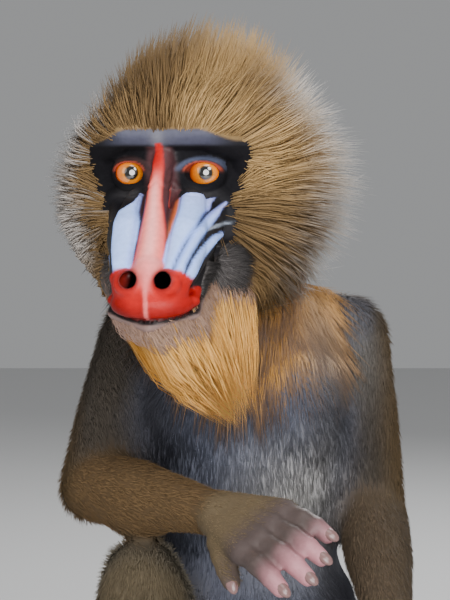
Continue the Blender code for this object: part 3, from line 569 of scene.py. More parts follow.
# Growing each group, skinning it and shrinking it again fills its creases. The coat's depth comes
# off the result, save at the floor and where the right forearm rests on the knee.
body_forms = bmesh.new()
for group in JOINED_PARTS:
    forms = part_forms(group)
    if "chest" in group:
        add_limb(forms, [(eye_middle + point, radius) for point, radius in NECK_CHAIN])
    fill = TRUNK_FILL if group == TRUNK else CREASE_FILL
    filled = grown_by(skin_over(mesh_of(forms, "group"), BODY_VOXEL, 2), fill)
    filled = grown_by(skin_over(filled, BODY_VOXEL, 4), -fill)
    body_forms.from_mesh(filled)
body_skin = skin_over(mesh_of(body_forms, "body_forms"), BODY_VOXEL, 3)
shares = node_shares(body_skin, 6)
depths = shares @ np.array([COAT_DEPTH[limb_name(node)] for node in body_nodes])
body_places = places(body_skin)
depths *= eased(body_places[:, 2], *FLOOR_EASE)
knee_contact = contact_place("thigh_right", "forearm_right")
depths *= eased(np.linalg.norm(body_places - knee_contact, axis=1), *CONTACT_EASE)
set_places(body_skin, body_places - facings(body_skin) * depths[:, None])

skin_mesh = combined(body_skin, head_skin, "UNION")
for side in SIDES:
    skin_mesh = combined(skin_mesh, make_hand(side), "UNION")
    skin_mesh = combined(skin_mesh, make_foot(side), "UNION")
for side in SIDES:
    ear = bmesh.new()
    ear.from_mesh(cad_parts[f"ear_{side}"].data)
    bmesh.ops.remove_doubles(ear, verts=ear.verts, dist=1e-6)
    ear_mesh = grown_by(skin_over(mesh_of(ear, "ear"), EAR_VOXEL, 2), EAR_GROWTH)
    skin_mesh = combined(skin_mesh, ear_mesh, "UNION")
skin_mesh = largest_shell(skin_mesh)
stood = places(skin_mesh)
stood[:, 2] = np.maximum(stood[:, 2], FLOOR_CLEARANCE)
set_places(skin_mesh, stood)

# The skin's markings, as colours worked out from the place on the body: black sockets, slate brow
# with a painted highlight on top, red nose with a painted pink highlight down its ridge, pale blue
# cheek ridges with painted highlights, dark cheeks, brown hands and a violet seat. Shade is painted
# into the mouth's line, round and into the nostrils and on the nose pad's sides and bottom, and a
# little light on the right nostril's outer wall.
SOCKET = (0.006, 0.0055, 0.007)
CHARCOAL = (0.014, 0.013, 0.015)
SLATE = (0.052, 0.053, 0.080)
NOSE_RED = (0.480, 0.008, 0.006)
NOSE_SALMON = (0.860, 0.120, 0.090)
PINK_HIGHLIGHT = (0.980, 0.400, 0.370)
MAROON = (0.070, 0.026, 0.028)
RUST = (0.520, 0.110, 0.035)
RIDGE_BLUE = (0.310, 0.460, 0.980)
RIDGE_LILAC = (0.340, 0.390, 0.860)
LID_BLUE = (0.050, 0.058, 0.095)
LID_BROWN = (0.030, 0.014, 0.014)
LID_RED = (0.340, 0.052, 0.024)
CHIN_PINK = (0.200, 0.130, 0.115)
UNDER_HAIR = (0.220, 0.140, 0.060)
HAND_BROWN = (0.060, 0.044, 0.040)
FINGER_PINK = (0.470, 0.205, 0.235)
SEAT_VIOLET = (0.230, 0.120, 0.380)
SEAT_RED = (0.560, 0.060, 0.100)
SKIN_GLOSS = 0.20
GRAIN_HEIGHT = 0.0006


def mixed(colours, share, colour):
    """The colours with another one laid over them."""
    share = np.asarray(share)[:, None]
    return colours * (1 - share) + np.asarray(colour) * share


def head_places(co):
    """Places of the world, in the head's frame."""
    turn = np.array(HEAD_TO_WORLD.to_3x3())
    return (co - np.array(eye_middle)) @ turn


def face_colours(co, colours):
    """Lays the face's markings, with painted highlights and painted shade, over the colours of places in the
    head's frame.
    """
    co = co.copy()
    co[:, 0] -= muzzle_shift(co)
    along, round_it = muzzle_chart(co)
    x, y, z = co.T
    wide = np.abs(x)
    under_hair = eased(z - 0.0320 + 0.008 * eased(wide, 0.025, 0.055), -0.0005, 0.0020)
    front = (1 - eased(y, 0.014, 0.034)) * (1 - under_hair)
    colours = mixed(colours, front, CHARCOAL)
    socket = eased(0.030 - z, 0.004, 0.010) * eased(z + 0.036, 0.0, 0.012) * front
    colours = mixed(colours, socket, SOCKET)
    bag = np.exp(-((z + 0.016) / 0.004) ** 2) * np.exp(-((wide - 0.028) / 0.010) ** 2)
    colours = mixed(colours, 0.5 * bag * front, (0.050, 0.046, 0.047))
    brow = eased(z - 0.0212, -0.0015, 0.0015) * (1 - eased(y, 0.020, 0.032)) * (1 - under_hair)
    brow_tone = 1 - 0.95 * eased(wide, 0.030, 0.056)
    colours = mixed(colours, brow * brow_tone, SLATE)
    # painted highlight: paler slate along the top of the brow
    colours = mixed(colours, brow * brow_tone * 0.5 * eased(z, 0.025, 0.031), (0.110, 0.112, 0.150))
    notch = np.exp(-((x + 0.004) / 0.005) ** 2) * eased(z, 0.016, 0.022)
    colours = mixed(colours, notch * 0.5 * front, (0.170, 0.165, 0.185))
    middle = np.interp(-z, (-0.024, 0.0, 0.030), (-0.0035, -0.0015, 0.0))
    half = np.interp(-z, (-0.024, -0.006, 0.020, 0.042, 0.062, 0.070),
                     (0.0015, 0.0048, 0.0056, 0.0092, 0.0108, 0.0130))
    off = np.abs(x - middle)
    on_top = (1 - eased(round_it, 26, 34)) * (z < 0.022)
    flank = (1 - eased(off - half, 0.003, 0.010)) * (z < 0.020) * (1 - eased(-z, 0.022, 0.040)) * (y < 0)
    colours = mixed(colours, flank, MAROON)
    wall_edge = np.interp(-z, (0.015, 0.045), (0.0135, 0.006))
    wall = (off - half > 0.003) * (x > 0) * (x < wall_edge)
    colours = mixed(colours, wall * (z < -0.012) * (z > -0.045) * (y < 0), MAROON)
    streak = np.exp(-((round_it - np.interp(along, (0, 20, 60, 90), (26, 19, 16, 15.5))) / 3.0) ** 2)
    streak *= (x > wall_edge) * eased(along, 12, 22) * (1 - eased(along, 50, 80)) * (x > 0)
    colours = mixed(colours, streak, RUST)
    strip = (1 - eased(off - half, -0.0016, 0.0014)) * on_top * (y < -0.014) * (z > -0.1065)
    red_top = eased(-z, -0.012, 0.016)
    colours = mixed(colours, strip, NOSE_RED)
    colours = mixed(colours, strip, mixed(np.array(NOSE_RED), red_top, NOSE_SALMON))
    # painted highlight: pink down the middle of the nose strip's lower part
    strip_highlight = np.exp(-(off / (half * 0.62)) ** 2) * eased(-z, -0.006, 0.016)
    colours = mixed(colours, strip * strip_highlight * 0.8, PINK_HIGHLIGHT)
    for name, side in SIDES.items():
        for rows in RIDGES[name]:
            beyond = np.where(x * side > 0, beyond_ridge(along, round_it, rows), 9.0)
            ridge = 1 - eased(beyond, -1.2, 1.2)
            blue = mixed(np.array(RIDGE_LILAC), eased(along, 4, 40), RIDGE_BLUE)
            colours = mixed(colours, ridge, blue)
            # painted highlight: paler blue along the middle of each ridge
            colours = mixed(colours, ridge * 0.35 * eased(-beyond, 1.5, 5.0), (0.500, 0.670, 1.000))
    thin = 1 - eased(beyond_ridge(along, round_it, THIN_STRIPE), -1.0, 1.0)
    colours = mixed(colours, thin * 0.8 * (x > 0), (0.280, 0.320, 0.390))
    above_mouth = lip_height(co)
    pad_top = 93.4 - 9.5 * eased(round_it, 40, 56) - 5.0 * eased(round_it, 58, 68)
    pad = eased(along - pad_top, -0.6, 1.6) * (1 - eased(round_it, 66, 86))
    pad = pad * eased(above_mouth, -0.0012, 0.0004) * (y < -0.050)
    pad = np.maximum(pad, strip * eased(along, 84, 90))
    # painted shade: the pad's red darker towards its sides, more on the animal's right, and towards its
    # bottom
    shaded_pad_red = np.array(NOSE_RED) * (1 - (0.25 + 0.2 * (x < 0)) * eased(round_it, 20, 50))[:, None]
    shaded_pad_red = shaded_pad_red * (1 - 0.45 * eased(-z, 0.088, 0.104))[:, None]
    colours = mixed(colours, pad, shaded_pad_red)
    # painted pink highlight on the pad near the nose's tip
    colours = mixed(colours, pad * 0.75 * bump_at(co, (0, -0.088, -0.062), 0.013), PINK_HIGHLIGHT)
    narrow = np.interp(along, (86, 97, 112), (0.0070, 0.0046, 0.0014))
    philtrum = np.exp(-(x / narrow) ** 2) * eased(along, 86, 94)
    colours = mixed(colours, pad * philtrum * 0.80, (0.820, 0.200, 0.190))
    muzzle = (y < -0.022) * (1 - eased(wide, 0.034, 0.044))
    colours = mixed(colours, (1 - eased(above_mouth, -0.0045, -0.0025)) * (y < 0.0), CHIN_PINK)
    jowl = eased(wide, 0.033, 0.039) * eased(z, -0.100, -0.092) * (1 - pad)
    colours = mixed(colours, jowl * eased(-z, 0.060, 0.068) * front * 0.9, (0.040, 0.030, 0.024))
    # painted shade: a near black line along the mouth
    colours = mixed(colours, muzzle * np.exp(-((above_mouth + 0.0016) / 0.0018) ** 2), (0.006, 0.003, 0.003))
    tilt = math.radians(NOSTRIL_TILT)
    for side in SIDES.values():
        near = co - np.array((EYE_SPACING / 2 * side, 0, 0))
        ring = np.hypot(near[:, 0] / EYE_OPENING[0], near[:, 2] / EYE_OPENING[1])
        over = eased(near[:, 2], 0.0, 0.004) * (y < 0.004)
        lid = over * (1 - eased(ring, 1.40, 1.62)) * eased(ring, 1.1, 1.25)
        colours = mixed(colours, lid, LID_BLUE if side > 0 else LID_BROWN)
        colours = mixed(colours, over * 0.8 * (1 - eased(ring, 1.05, 1.17)), LID_RED)
        off_x, off_y, off_z = (co - np.array(mirrored(NOSTRIL, side))).T
        level = np.column_stack([off_x, off_y * math.cos(tilt) + off_z * math.sin(tilt),
                                 off_z * math.cos(tilt) - off_y * math.sin(tilt)])
        hole = np.linalg.norm(level / np.array(NOSTRIL_RADII), axis=1)
        # painted shade: a dark red ring round each nostril and black in its hole; painted light on the outer
        # part of the right nostril's hole
        colours = mixed(colours, 0.65 * (1 - eased(hole, 1.10, 1.75)) * pad, (0.120, 0.004, 0.003))
        colours = mixed(colours, 1 - eased(hole, 1.04, 1.20), (0.001, 0.0005, 0.0005))
        lit = (1 - eased(hole, 1.04, 1.20)) * eased(-off_x, -0.001, 0.005) * (side < 0)
        colours = mixed(colours, 0.8 * lit, (0.150, 0.008, 0.006))
    return colours


# The coat's colours by body part: blue grey breast, olive brown limbs, with painted shade at the breast's
# sides and painted silver highlights on the breast and the left shoulder
COAT_TONES = {"chest": (0.118, 0.130, 0.178), "belly": (0.105, 0.112, 0.150), "pelvis": (0.105, 0.086, 0.056),
              "tail": (0.090, 0.080, 0.062), "upper_arm": (0.060, 0.050, 0.040),
              "forearm": (0.104, 0.065, 0.030), "thigh": (0.085, 0.074, 0.056),
              "shin": (0.105, 0.082, 0.050), "hand": (0.118, 0.086, 0.048), "foot": (0.060, 0.050, 0.040)}
SILVER_HIGHLIGHT = (0.440, 0.425, 0.410)
BREAST_SHADE = (0.034, 0.032, 0.035)
BACK_OLIVE = (0.150, 0.108, 0.052)
SHOULDER_OLIVE = (0.085, 0.056, 0.026)
SHOULDER_HIGHLIGHT = (0.800, 0.780, 0.760)
HAND_REACH = 0.095
FOOT_REACH = 0.125
EXTREMITIES = ("hand_right", "hand_left", "foot_right", "foot_left")


def coat_colours(co, shares):
    """The coat's colours on the body, by part and place, with painted shade and painted highlights."""
    colours = shares @ np.array([COAT_TONES[limb_name(node)] for node in body_nodes])
    away = co - np.array(eye_middle)
    trunk = share_of(shares, "chest", "belly")
    # painted shade on the breast's two sides, darkest on the animal's right
    side_shade = 1 - eased(away[:, 0], -0.02, 0.035) + 0.8 * eased(away[:, 0], 0.098, 0.128)
    colours = mixed(colours, trunk * side_shade * 0.85, BREAST_SHADE)
    on_trunk = np.clip(trunk, 0, 1)
    # painted silver highlight low on the breast's left side
    colours = mixed(colours, bump_at(away, (0.103, 0.050, -0.262), 0.048) * 0.95 * on_trunk, SILVER_HIGHLIGHT)
    outer = eased(away[:, 0], 0.165, 0.190) + eased(-away[:, 0], 0.070, 0.090)
    colours = mixed(colours, np.clip(outer, 0, 1) * 0.85, SHOULDER_OLIVE)
    # painted highlights on the animal's left shoulder: silver grey with a near white spot
    colours = mixed(colours, bump_at(away, (0.150, 0.090, -0.110), 0.046), SILVER_HIGHLIGHT)
    colours = mixed(colours, bump_at(away, (0.168, 0.085, -0.120), 0.032) * 0.8, SHOULDER_HIGHLIGHT)
    colours = mixed(colours, share_of(shares, "forearm_left") * 0.6, COAT_TONES["upper_arm"])
    behind = eased(away[:, 1], 0.16, 0.22) * on_trunk
    return mixed(colours, behind, BACK_OLIVE)


def digit_share(co):
    """How far each place is out along its hand or foot: 0 at the root, 1 at the tips."""
    share = np.zeros(len(co))
    for side in SIDES:
        foot_along = Vector((FOOT_SPREAD[side] * SIDES[side], -1, 0))
        hand = (WRIST[side], HAND_ALONG[side], HAND_REACH)
        for start, along, length in (hand, (ANKLE[side], foot_along, FOOT_REACH)):
            away = co - np.array(base + start)
            out = away @ np.array(along.normalized()) / length
            near = np.linalg.norm(away, axis=1) < length * 1.35
            share = np.where(near, np.maximum(share, out), share)
    return share


def seat_share(co, shares):
    """How much each place belongs to the bare pads that the animal sits on."""
    back = np.array(base + Vector((0, 0.135, 0.060)))
    spots = [back + np.array((0.036 * side, 0, 0)) for side in SIDES.values()]
    near = np.maximum(bump_at(co, spots[0], 0.050), bump_at(co, spots[1], 0.050))
    return np.clip(near * 1.4, 0, 1) * share_of(shares, "pelvis")


def body_colours(co, shares):
    """The skin's colours: as the coat's where it is furred, bare on digits, palms, soles and seat."""
    colours = coat_colours(co, shares) * 0.75
    extremity = share_of(shares, *EXTREMITIES)
    hand = share_of(shares, "hand_right", "hand_left")
    out = digit_share(co)
    colours = mixed(colours, extremity * eased(out, 0.30, 0.55), HAND_BROWN)
    colours = mixed(colours, np.clip(hand, 0, 1) * eased(out, 0.74, 1.00) * 0.80, FINGER_PINK)
    seat = seat_share(co, shares)
    low = 1 - eased(co[:, 2], 0.020, 0.055)
    return mixed(mixed(colours, seat, SEAT_VIOLET), seat * low, SEAT_RED)


skin_places = places(skin_mesh)
skin_shares = node_shares(skin_mesh, 18)
skin_colours = body_colours(skin_places, skin_shares)
in_head = head_places(skin_places)
head_part = eased(-np.linalg.norm((in_head - (0, 0.02, -0.03)) / (0.11, 0.15, 0.125), axis=1), -1.15, -0.95)
faced = face_colours(in_head, np.tile(UNDER_HAIR, (len(skin_places), 1)))
skin_colours = mixed(skin_colours, head_part, faced)


def set_colours(mesh, colours):
    """Stores colours at the corners of a mesh, for its material."""
    layer = mesh.color_attributes.new("markings", "FLOAT_COLOR", "POINT")
    whole = np.ones((len(colours), 4), np.float32)
    whole[:, :3] = colours
    layer.data.foreach_set("color", whole.ravel())


set_colours(skin_mesh, skin_colours)


def node_with(tree, kind, values):
    """A new shader node with some of its sockets set."""
    node = tree.nodes.new(kind)
    for socket, value in values.items():
        node.inputs[socket].default_value = value
    return node


def new_material(name, values):
    """A new material, the sockets of its shader set, with its node tree and its shader."""
    made = bpy.data.materials.new(name)
    made.use_nodes = True
    shader = made.node_tree.nodes["Principled BSDF"]
    for socket, value in values.items():
        shader.inputs[socket].default_value = value
    return made, made.node_tree, shader


def marked_material(name, roughness, gloss, speckle_scale, speckle, bump_scale, bump):
    """A finish with its colour from the markings, speckled and with a fine grain of noise."""
    made, tree, shader = new_material(name, {"Roughness": roughness, "Specular IOR Level": gloss})
    links = tree.links
    markings = tree.nodes.new("ShaderNodeAttribute")
    markings.attribute_name = "markings"
    place = tree.nodes.new("ShaderNodeTexCoord")
    fine = node_with(tree, "ShaderNodeTexNoise", {"Scale": speckle_scale, "Detail": 4})
    links.new(place.outputs["Object"], fine.inputs["Vector"])
    span = {"From Min": 0.3, "From Max": 0.7, "To Min": 1 - speckle, "To Max": 1 + speckle}
    tone = node_with(tree, "ShaderNodeMapRange", span)
    links.new(fine.outputs["Fac"], tone.inputs["Value"])
    shade = tree.nodes.new("ShaderNodeVectorMath")
    shade.operation = "SCALE"
    links.new(markings.outputs["Color"], shade.inputs["Vector"])
    links.new(tone.outputs["Result"], shade.inputs["Scale"])
    links.new(shade.outputs["Vector"], shader.inputs["Base Color"])
    grain = node_with(tree, "ShaderNodeTexNoise", {"Scale": bump_scale, "Detail": 3})
    links.new(place.outputs["Object"], grain.inputs["Vector"])
    raised = node_with(tree, "ShaderNodeBump", {"Strength": bump, "Distance": GRAIN_HEIGHT})
    links.new(grain.outputs["Fac"], raised.inputs["Height"])
    links.new(raised.outputs["Normal"], shader.inputs["Normal"])
    return made


def vary_finish(name, values, socket):
    """Stores a value at each corner of the skin, and gives it to a socket of the skin's shader."""
    layer = skin_mesh.attributes.new(name, "FLOAT", "POINT")
    layer.data.foreach_set("value", values.astype(np.float32))
    reader = bare_skin.node_tree.nodes.new("ShaderNodeAttribute")
    reader.attribute_name = name
    shader = bare_skin.node_tree.nodes["Principled BSDF"]
    bare_skin.node_tree.links.new(reader.outputs["Fac"], shader.inputs[socket])


bare_skin = marked_material("bare_skin", roughness=0.45, gloss=SKIN_GLOSS, speckle_scale=260, speckle=0.08,
                            bump_scale=620, bump=0.35)
socketed = eased(in_head[:, 2], -0.024, -0.014) * eased(np.abs(in_head[:, 0]), 0.008, 0.014)
bare = head_part * (1 - eased(in_head[:, 1], 0.0, 0.03)) * (1 - 0.9 * socketed)
bare += eased(digit_share(skin_places), 0.45, 0.70)
vary_finish("dullness", 0.90 - 0.48 * np.clip(bare, 0, 1), "Roughness")
vary_finish("gleam", SKIN_GLOSS * eased(skin_colours.sum(axis=1), 0.004, 0.030), "Specular IOR Level")
skin_mesh.materials.clear()
skin_mesh.materials.append(bare_skin)
skin_mesh.shade_smooth()
skin = shown("skin", skin_mesh)
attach(skin, "root")
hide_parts("head", "lower_jaw", "neck", "ear_right", "ear_left", *body_nodes)

# The eyes. Each is a glossy ball with a clear bulge over the iris, which is amber with a fine
# dark rim and a round black pupil. Both look at whoever stands before the model.
IRIS_R = 0.0127
PUPIL_R = 0.0049
CORNEA_RISE = 0.0007
GAZE = Vector((0.19, -1, 0.02)).normalized()


def make_eye(side):
    """An eyeball with a bulge over the iris, turned along the gaze."""
    work = bmesh.new()
    bmesh.ops.create_uvsphere(work, u_segments=64, v_segments=48, radius=EYEBALL_R)
    turn = Vector((0, 0, 1)).rotation_difference(GAZE).to_matrix().to_4x4()
    for vert in work.verts:
        off = math.hypot(vert.co.x, vert.co.y)
        if vert.co.z > 0:
            vert.co.z += CORNEA_RISE * math.exp(-((off / 0.0095) ** 4))
    work.transform(turn)
    bmesh.ops.translate(work, verts=work.verts, vec=mirrored((EYE_SPACING / 2, 0, 0), side))
    work.transform(HEAD_TO_WORLD)
    return mesh_of(work, "eye")


def eye_material(centre):
    """Amber iris, black pupil and dark rim, by the distance from the gaze line."""
    made, tree, shader = new_material("amber_eye", {
        "Roughness": 0.06, "Coat Weight": 1.0, "Coat Roughness": 0.02, "Coat IOR": 2.0,
        "Specular IOR Level": 0.2,
    })
    nodes, links = tree.nodes, tree.links
    place = nodes.new("ShaderNodeTexCoord")
    mapping = nodes.new("ShaderNodeMapping")
    mapping.vector_type = "TEXTURE"
    gaze = HEAD_TO_WORLD.to_3x3() @ GAZE
    mapping.inputs["Location"].default_value = centre
    mapping.inputs["Rotation"].default_value = Vector((0, 0, 1)).rotation_difference(gaze).to_euler()
    links.new(place.outputs["Object"], mapping.inputs["Vector"])
    flat = nodes.new("ShaderNodeVectorMath")
    flat.operation = "MULTIPLY"
    flat.inputs[1].default_value = (1, 1, 0)
    links.new(mapping.outputs["Vector"], flat.inputs[0])
    off = nodes.new("ShaderNodeVectorMath")
    off.operation = "LENGTH"
    links.new(flat.outputs["Vector"], off.inputs[0])
    share = nodes.new("ShaderNodeMath")
    share.operation = "DIVIDE"
    share.inputs[1].default_value = EYEBALL_R
    links.new(off.outputs["Value"], share.inputs[0])
    ramp = nodes.new("ShaderNodeValToRGB")
    pupil, iris = PUPIL_R / EYEBALL_R, IRIS_R / EYEBALL_R
    stops = [
        (0, (0.004, 0.004, 0.003)), (pupil * 0.94, (0.006, 0.006, 0.004)),
        (pupil * 1.04, (0.120, 0.045, 0.006)), (pupil * 1.22, (0.620, 0.200, 0.001)),
        (iris * 0.78, (0.740, 0.150, 0.001)), (iris * 0.94, (0.480, 0.055, 0.001)),
        (iris, (0.030, 0.008, 0.004)), (iris * 1.08, (0.020, 0.012, 0.010)),
    ]
    for _ in range(len(stops) - 2):
        ramp.color_ramp.elements.new(0.5)
    for stop, (at, colour) in zip(ramp.color_ramp.elements, stops):
        stop.position = at
        stop.color = (*colour, 1)
    links.new(share.outputs["Value"], ramp.inputs["Fac"])
    links.new(ramp.outputs["Color"], shader.inputs["Base Color"])
    return made


for name, side in SIDES.items():
    eyeball = shown(f"eyeball_{name}", make_eye(side))
    centre = HEAD_TO_WORLD @ mirrored((EYE_SPACING / 2, 0, 0), side)
    eyeball.data.materials.append(eye_material(centre))
    eyeball.data.shade_smooth()
    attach(eyeball, "root")
    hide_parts(f"eye_{name}")

# The long hair of crest, ruff, nape and throat. It grows from behind brow, temples and cheeks,
# stands up to a crest and sweeps back from the face, in locks whose tips are pale at the rim.
SEED = 7
HAIR_CENTRE = np.array((0, 0.065, 0))
HAIR_REACH = (
    ((0, -0.55, 0.85), 0.110), ((0, 0.10, 1), 0.124), ((0.22, 0.55, 0.95), 0.158), ((0, 1, 0.20), 0.130),
    ((0, 0.80, -0.75), 0.120), ((-0.7, 0.1, 0.75), 0.100), ((0.7, 0.1, 0.75), 0.134),
    ((-1, -0.05, -0.15), 0.126), ((1, -0.05, -0.15), 0.158), ((-0.75, -0.10, -0.80), 0.113),
    ((-0.35, -0.20, -0.95), 0.100),
    ((0.75, -0.10, -0.80), 0.146), ((0.40, -0.20, -0.90), 0.150), ((-0.85, -0.60, -0.10), 0.092),
    ((0.85, -0.60, -0.10), 0.096),
)
REACH_SHARPNESS = 9.0
FACE_CENTRE = np.array((0, -0.050, -0.020))
EAR = np.array((0.087, 0.074, 0.006))
PATCH = 0.003

triangles = np.empty(len(skin_mesh.loop_triangles) * 3, np.int32)
skin_mesh.loop_triangles.foreach_get("vertices", triangles)
triangles = triangles.reshape(-1, 3)
skin_facings = facings(skin_mesh)
skin_tree = BVHTree.FromPolygons(skin_places.tolist(), triangles.tolist())


def hair_reach(ways):
    """How far the hair's tips reach from its centre in each direction."""
    total = np.zeros(len(ways))
    reach = np.zeros(len(ways))
    for key, length in HAIR_REACH:
        weight = np.exp(REACH_SHARPNESS * (ways @ unit(np.array(key, float)) - 1))
        total += weight
        reach += weight * length
    return reach / total


def rooted(draw, count, density):
    """Random roots on the skin: their places and normals. Density is given at the corners."""
    corners = skin_places[triangles]
    area = np.linalg.norm(np.cross(corners[:, 1] - corners[:, 0], corners[:, 2] - corners[:, 0]), axis=1) / 2
    weight = area * density[triangles].mean(1)
    picked = draw.choice(len(triangles), count, p=weight / weight.sum())
    share = draw.random((count, 2))
    share = np.where(share.sum(1, keepdims=True) > 1, 1 - share, share)
    mix = np.column_stack([1 - share.sum(1), share])
    roots = (corners[picked] * mix[:, :, None]).sum(1)
    normals = unit((skin_facings[triangles[picked]] * mix[:, :, None]).sum(1))
    return roots, normals


def bent_paths(roots, middles, tips, shares):
    """Points on a curve from each root, pulled towards its middle, to its tip."""
    rows = [roots * (1 - s) ** 2 + middles * 2 * s * (1 - s) + tips * s * s for s in shares]
    return np.stack(rows, 1)


def unwrapped(name, roots):
    """Where roots lie on an unwrap of the skin that they grow from."""
    faces = np.array([skin_tree.find_nearest(root)[2] for root in roots.tolist()])
    used, row = np.unique(faces, return_inverse=True)
    corner_ids, corner_row = np.unique(triangles[used], return_inverse=True)
    patch = bpy.data.meshes.new(name)
    patch.from_pydata(skin_places[corner_ids].tolist(), [], corner_row.reshape(-1, 3).tolist())
    holder = shown(name, patch)
    bpy.context.view_layer.objects.active = holder
    holder.select_set(True)
    bpy.ops.object.mode_set(mode="EDIT")
    bpy.ops.mesh.select_all(action="SELECT")
    bpy.ops.uv.smart_project(angle_limit=math.radians(66), island_margin=0.001)
    bpy.ops.object.mode_set(mode="OBJECT")
    flat = np.empty(len(patch.loops) * 2, np.float32)
    patch.uv_layers[0].data.foreach_get("uv", flat)
    spots = flat.reshape(-1, 3, 2).mean(1)[row]
    bpy.data.objects.remove(holder)
    bpy.data.meshes.remove(patch)
    return spots


def tuft_mesh(name, paths, across, width, thick, taper, colours):
    """Joined thin tufts: three-sided rings along each path, closed at the root, to a point."""
    count, steps = paths.shape[0], paths.shape[1] - 1
    along = np.empty_like(paths[:, :steps])
    along[:, 0] = paths[:, 1] - paths[:, 0]
    along[:, 1:] = paths[:, 2:] - paths[:, :-2]
    along = unit(along)
    flat = unit(across[:, None] - along * (across[:, None] * along).sum(-1, keepdims=True))
    ridge = np.cross(along, flat)
    wide = flat * (width[:, None] * taper / 2)[:, :, None]
    high = ridge * (thick[:, None] * taper)[:, :, None]
    rings = paths[:, :steps]
    corners = np.stack([rings + wide, rings + high, rings - wide], 2).reshape(count, steps * 3, 3)
    corners = np.concatenate([corners, paths[:, steps:]], 1)
    per = steps * 3 + 1
    faces = [(2, 1, 0)]
    for ring in range(steps - 1):
        for near, far in ((0, 1), (1, 2), (2, 0)):
            low, high_ring = ring * 3, ring * 3 + 3
            faces.append((low + near, low + far, high_ring + far))
            faces.append((low + near, high_ring + far, high_ring + near))
    last = steps * 3 - 3
    faces += [(last + near, last + far, per - 1) for near, far in ((0, 1), (1, 2), (2, 0))]
    faces = (np.array(faces)[None] + (np.arange(count) * per)[:, None, None]).reshape(-1, 3)
    mesh = bpy.data.meshes.new(name)
    mesh.vertices.add(count * per)
    mesh.vertices.foreach_set("co", corners.astype(np.float32).ravel())
    mesh.loops.add(faces.size)
    mesh.loops.foreach_set("vertex_index", faces.astype(np.int32).ravel())
    mesh.polygons.add(len(faces))
    mesh.polygons.foreach_set("loop_start", np.arange(0, faces.size, 3, dtype=np.int32))
    mesh.update(calc_edges=True)
    mesh.shade_smooth()
    spots = unwrapped(name + "_patch", paths[:, 0])
    sideways = np.tile((PATCH / 2, 0, -PATCH / 2), steps)
    lengthways = np.repeat(np.linspace(-0.5, 0.4, steps), 3) * PATCH + np.tile((0, PATCH * 0.06, 0), steps)
    offsets = np.column_stack([np.append(sideways, 0), np.append(lengthways, PATCH / 2)])
    uv = (spots[:, None] + offsets).reshape(-1, 2)
    layer = mesh.uv_layers.new(name="OFBake")
    layer.data.foreach_set("uv", uv[faces.ravel()].astype(np.float32).ravel())
    set_colours(mesh, colours.reshape(-1, 3))
    return mesh


def tuft_colours(root, middle, tip, shares):
    """Colours at each ring and tip, from the root's through the middle's to the tip's."""
    rows = []
    for share in shares:
        low, high = eased(share, 0.0, 0.45), eased(share, 0.55, 1.0)
        rows.append((root * (1 - low) + middle * low) * (1 - high) + tip * high)
    rings = [row for row in rows[:-1] for _ in range(3)]
    return np.stack(rings + rows[-1:], 1)


def hair_allowed(co):
    """Where on the head long hair grows: over the brow and behind sockets and cheeks, round the ears."""
    x, y, z = co.T
    wide = np.abs(x - muzzle_shift(co))
    left_half = np.interp(z, (-0.120, -0.095, -0.070, -0.045, -0.025, -0.015, -0.005, 0.005, 0.016, 0.030),
                          (0.034, 0.044, 0.049, 0.046, 0.0445, 0.045, 0.0485, 0.053, 0.058, 0.050))
    right_half = np.interp(z, (-0.120, -0.095, -0.075, -0.050, -0.036, -0.022, -0.006, 0.009, 0.016, 0.030),
                           (0.034, 0.040, 0.0355, 0.0355, 0.0375, 0.045, 0.053, 0.056, 0.058, 0.050))
    face_half = np.where(x > 0, left_half, right_half)
    beside = eased(wide - face_half, -0.001, 0.003) * (z < 0.034)
    start = np.where(x > 0, 0.042, 0.022)
    above = eased(z - 0.0262 + 0.20 * np.maximum(wide - start, 0), -0.0008, 0.0015)
    behind = eased(y, 0.024, 0.032)
    folded = np.column_stack([np.abs(x), y, z])
    clear = eased(np.linalg.norm(folded - EAR, axis=1), 0.022, 0.026)
    foremost = np.where(x > 0, -0.040, -0.060)
    return np.maximum(np.maximum(beside, above), behind) * clear * eased(y - foremost, 0.0, 0.010)


def hair_lie(co, normals):
    """The way the hair lies on the head: from the face outwards, up to the crest, down the nape."""
    lie = unit(co - FACE_CENTRE)
    up = eased(co[:, 2], 0.030, 0.075) * (1 - eased(co[:, 1], 0.100, 0.130))
    lie = lie + np.array((0, 0.5, 0.9)) * up[:, None]
    lie = lie + np.array((0, 0.3, -1.2)) * eased(co[:, 1], 0.095, 0.135)[:, None]
    down = eased(-co[:, 2], 0.030, 0.075) * np.where(co[:, 0] > 0, 1.0, 0.35)
    lie = lie + np.array((0, 0.1, -0.8)) * down[:, None]
    return unit(lie - normals * (lie * normals).sum(1, keepdims=True))


def clumped(draw, spots, count):
    """For each spot, which of a random few it is gathered with."""
    centres = draw.choice(len(spots), count, replace=False)
    tree = KDTree(count)
    for index, centre in enumerate(centres):
        tree.insert(spots[centre], index)
    tree.balance()
    return np.array([tree.find(spot)[1] for spot in spots])


HAIR_OLIVE = np.array((0.250, 0.156, 0.066))
HAIR_GOLD = np.array((0.420, 0.265, 0.110))
HAIR_DARK = np.array((0.080, 0.047, 0.022))
HAIR_PALE = np.array((0.860, 0.835, 0.820))
LONG_SHARES = (0.0, 0.55, 1.0)
LONG_TAPER = np.array((0.6, 1.0))
HEAD_HAIRS = 62000
HEAD_CLUMPS = 9000
HAIR_WIDTH = 0.00092
HAIR_THICK = 0.00024
SHORT_SHARE = 0.35
CREST_START = 0.035
JOWL_TOP = -0.035
NAPE_START = 0.105

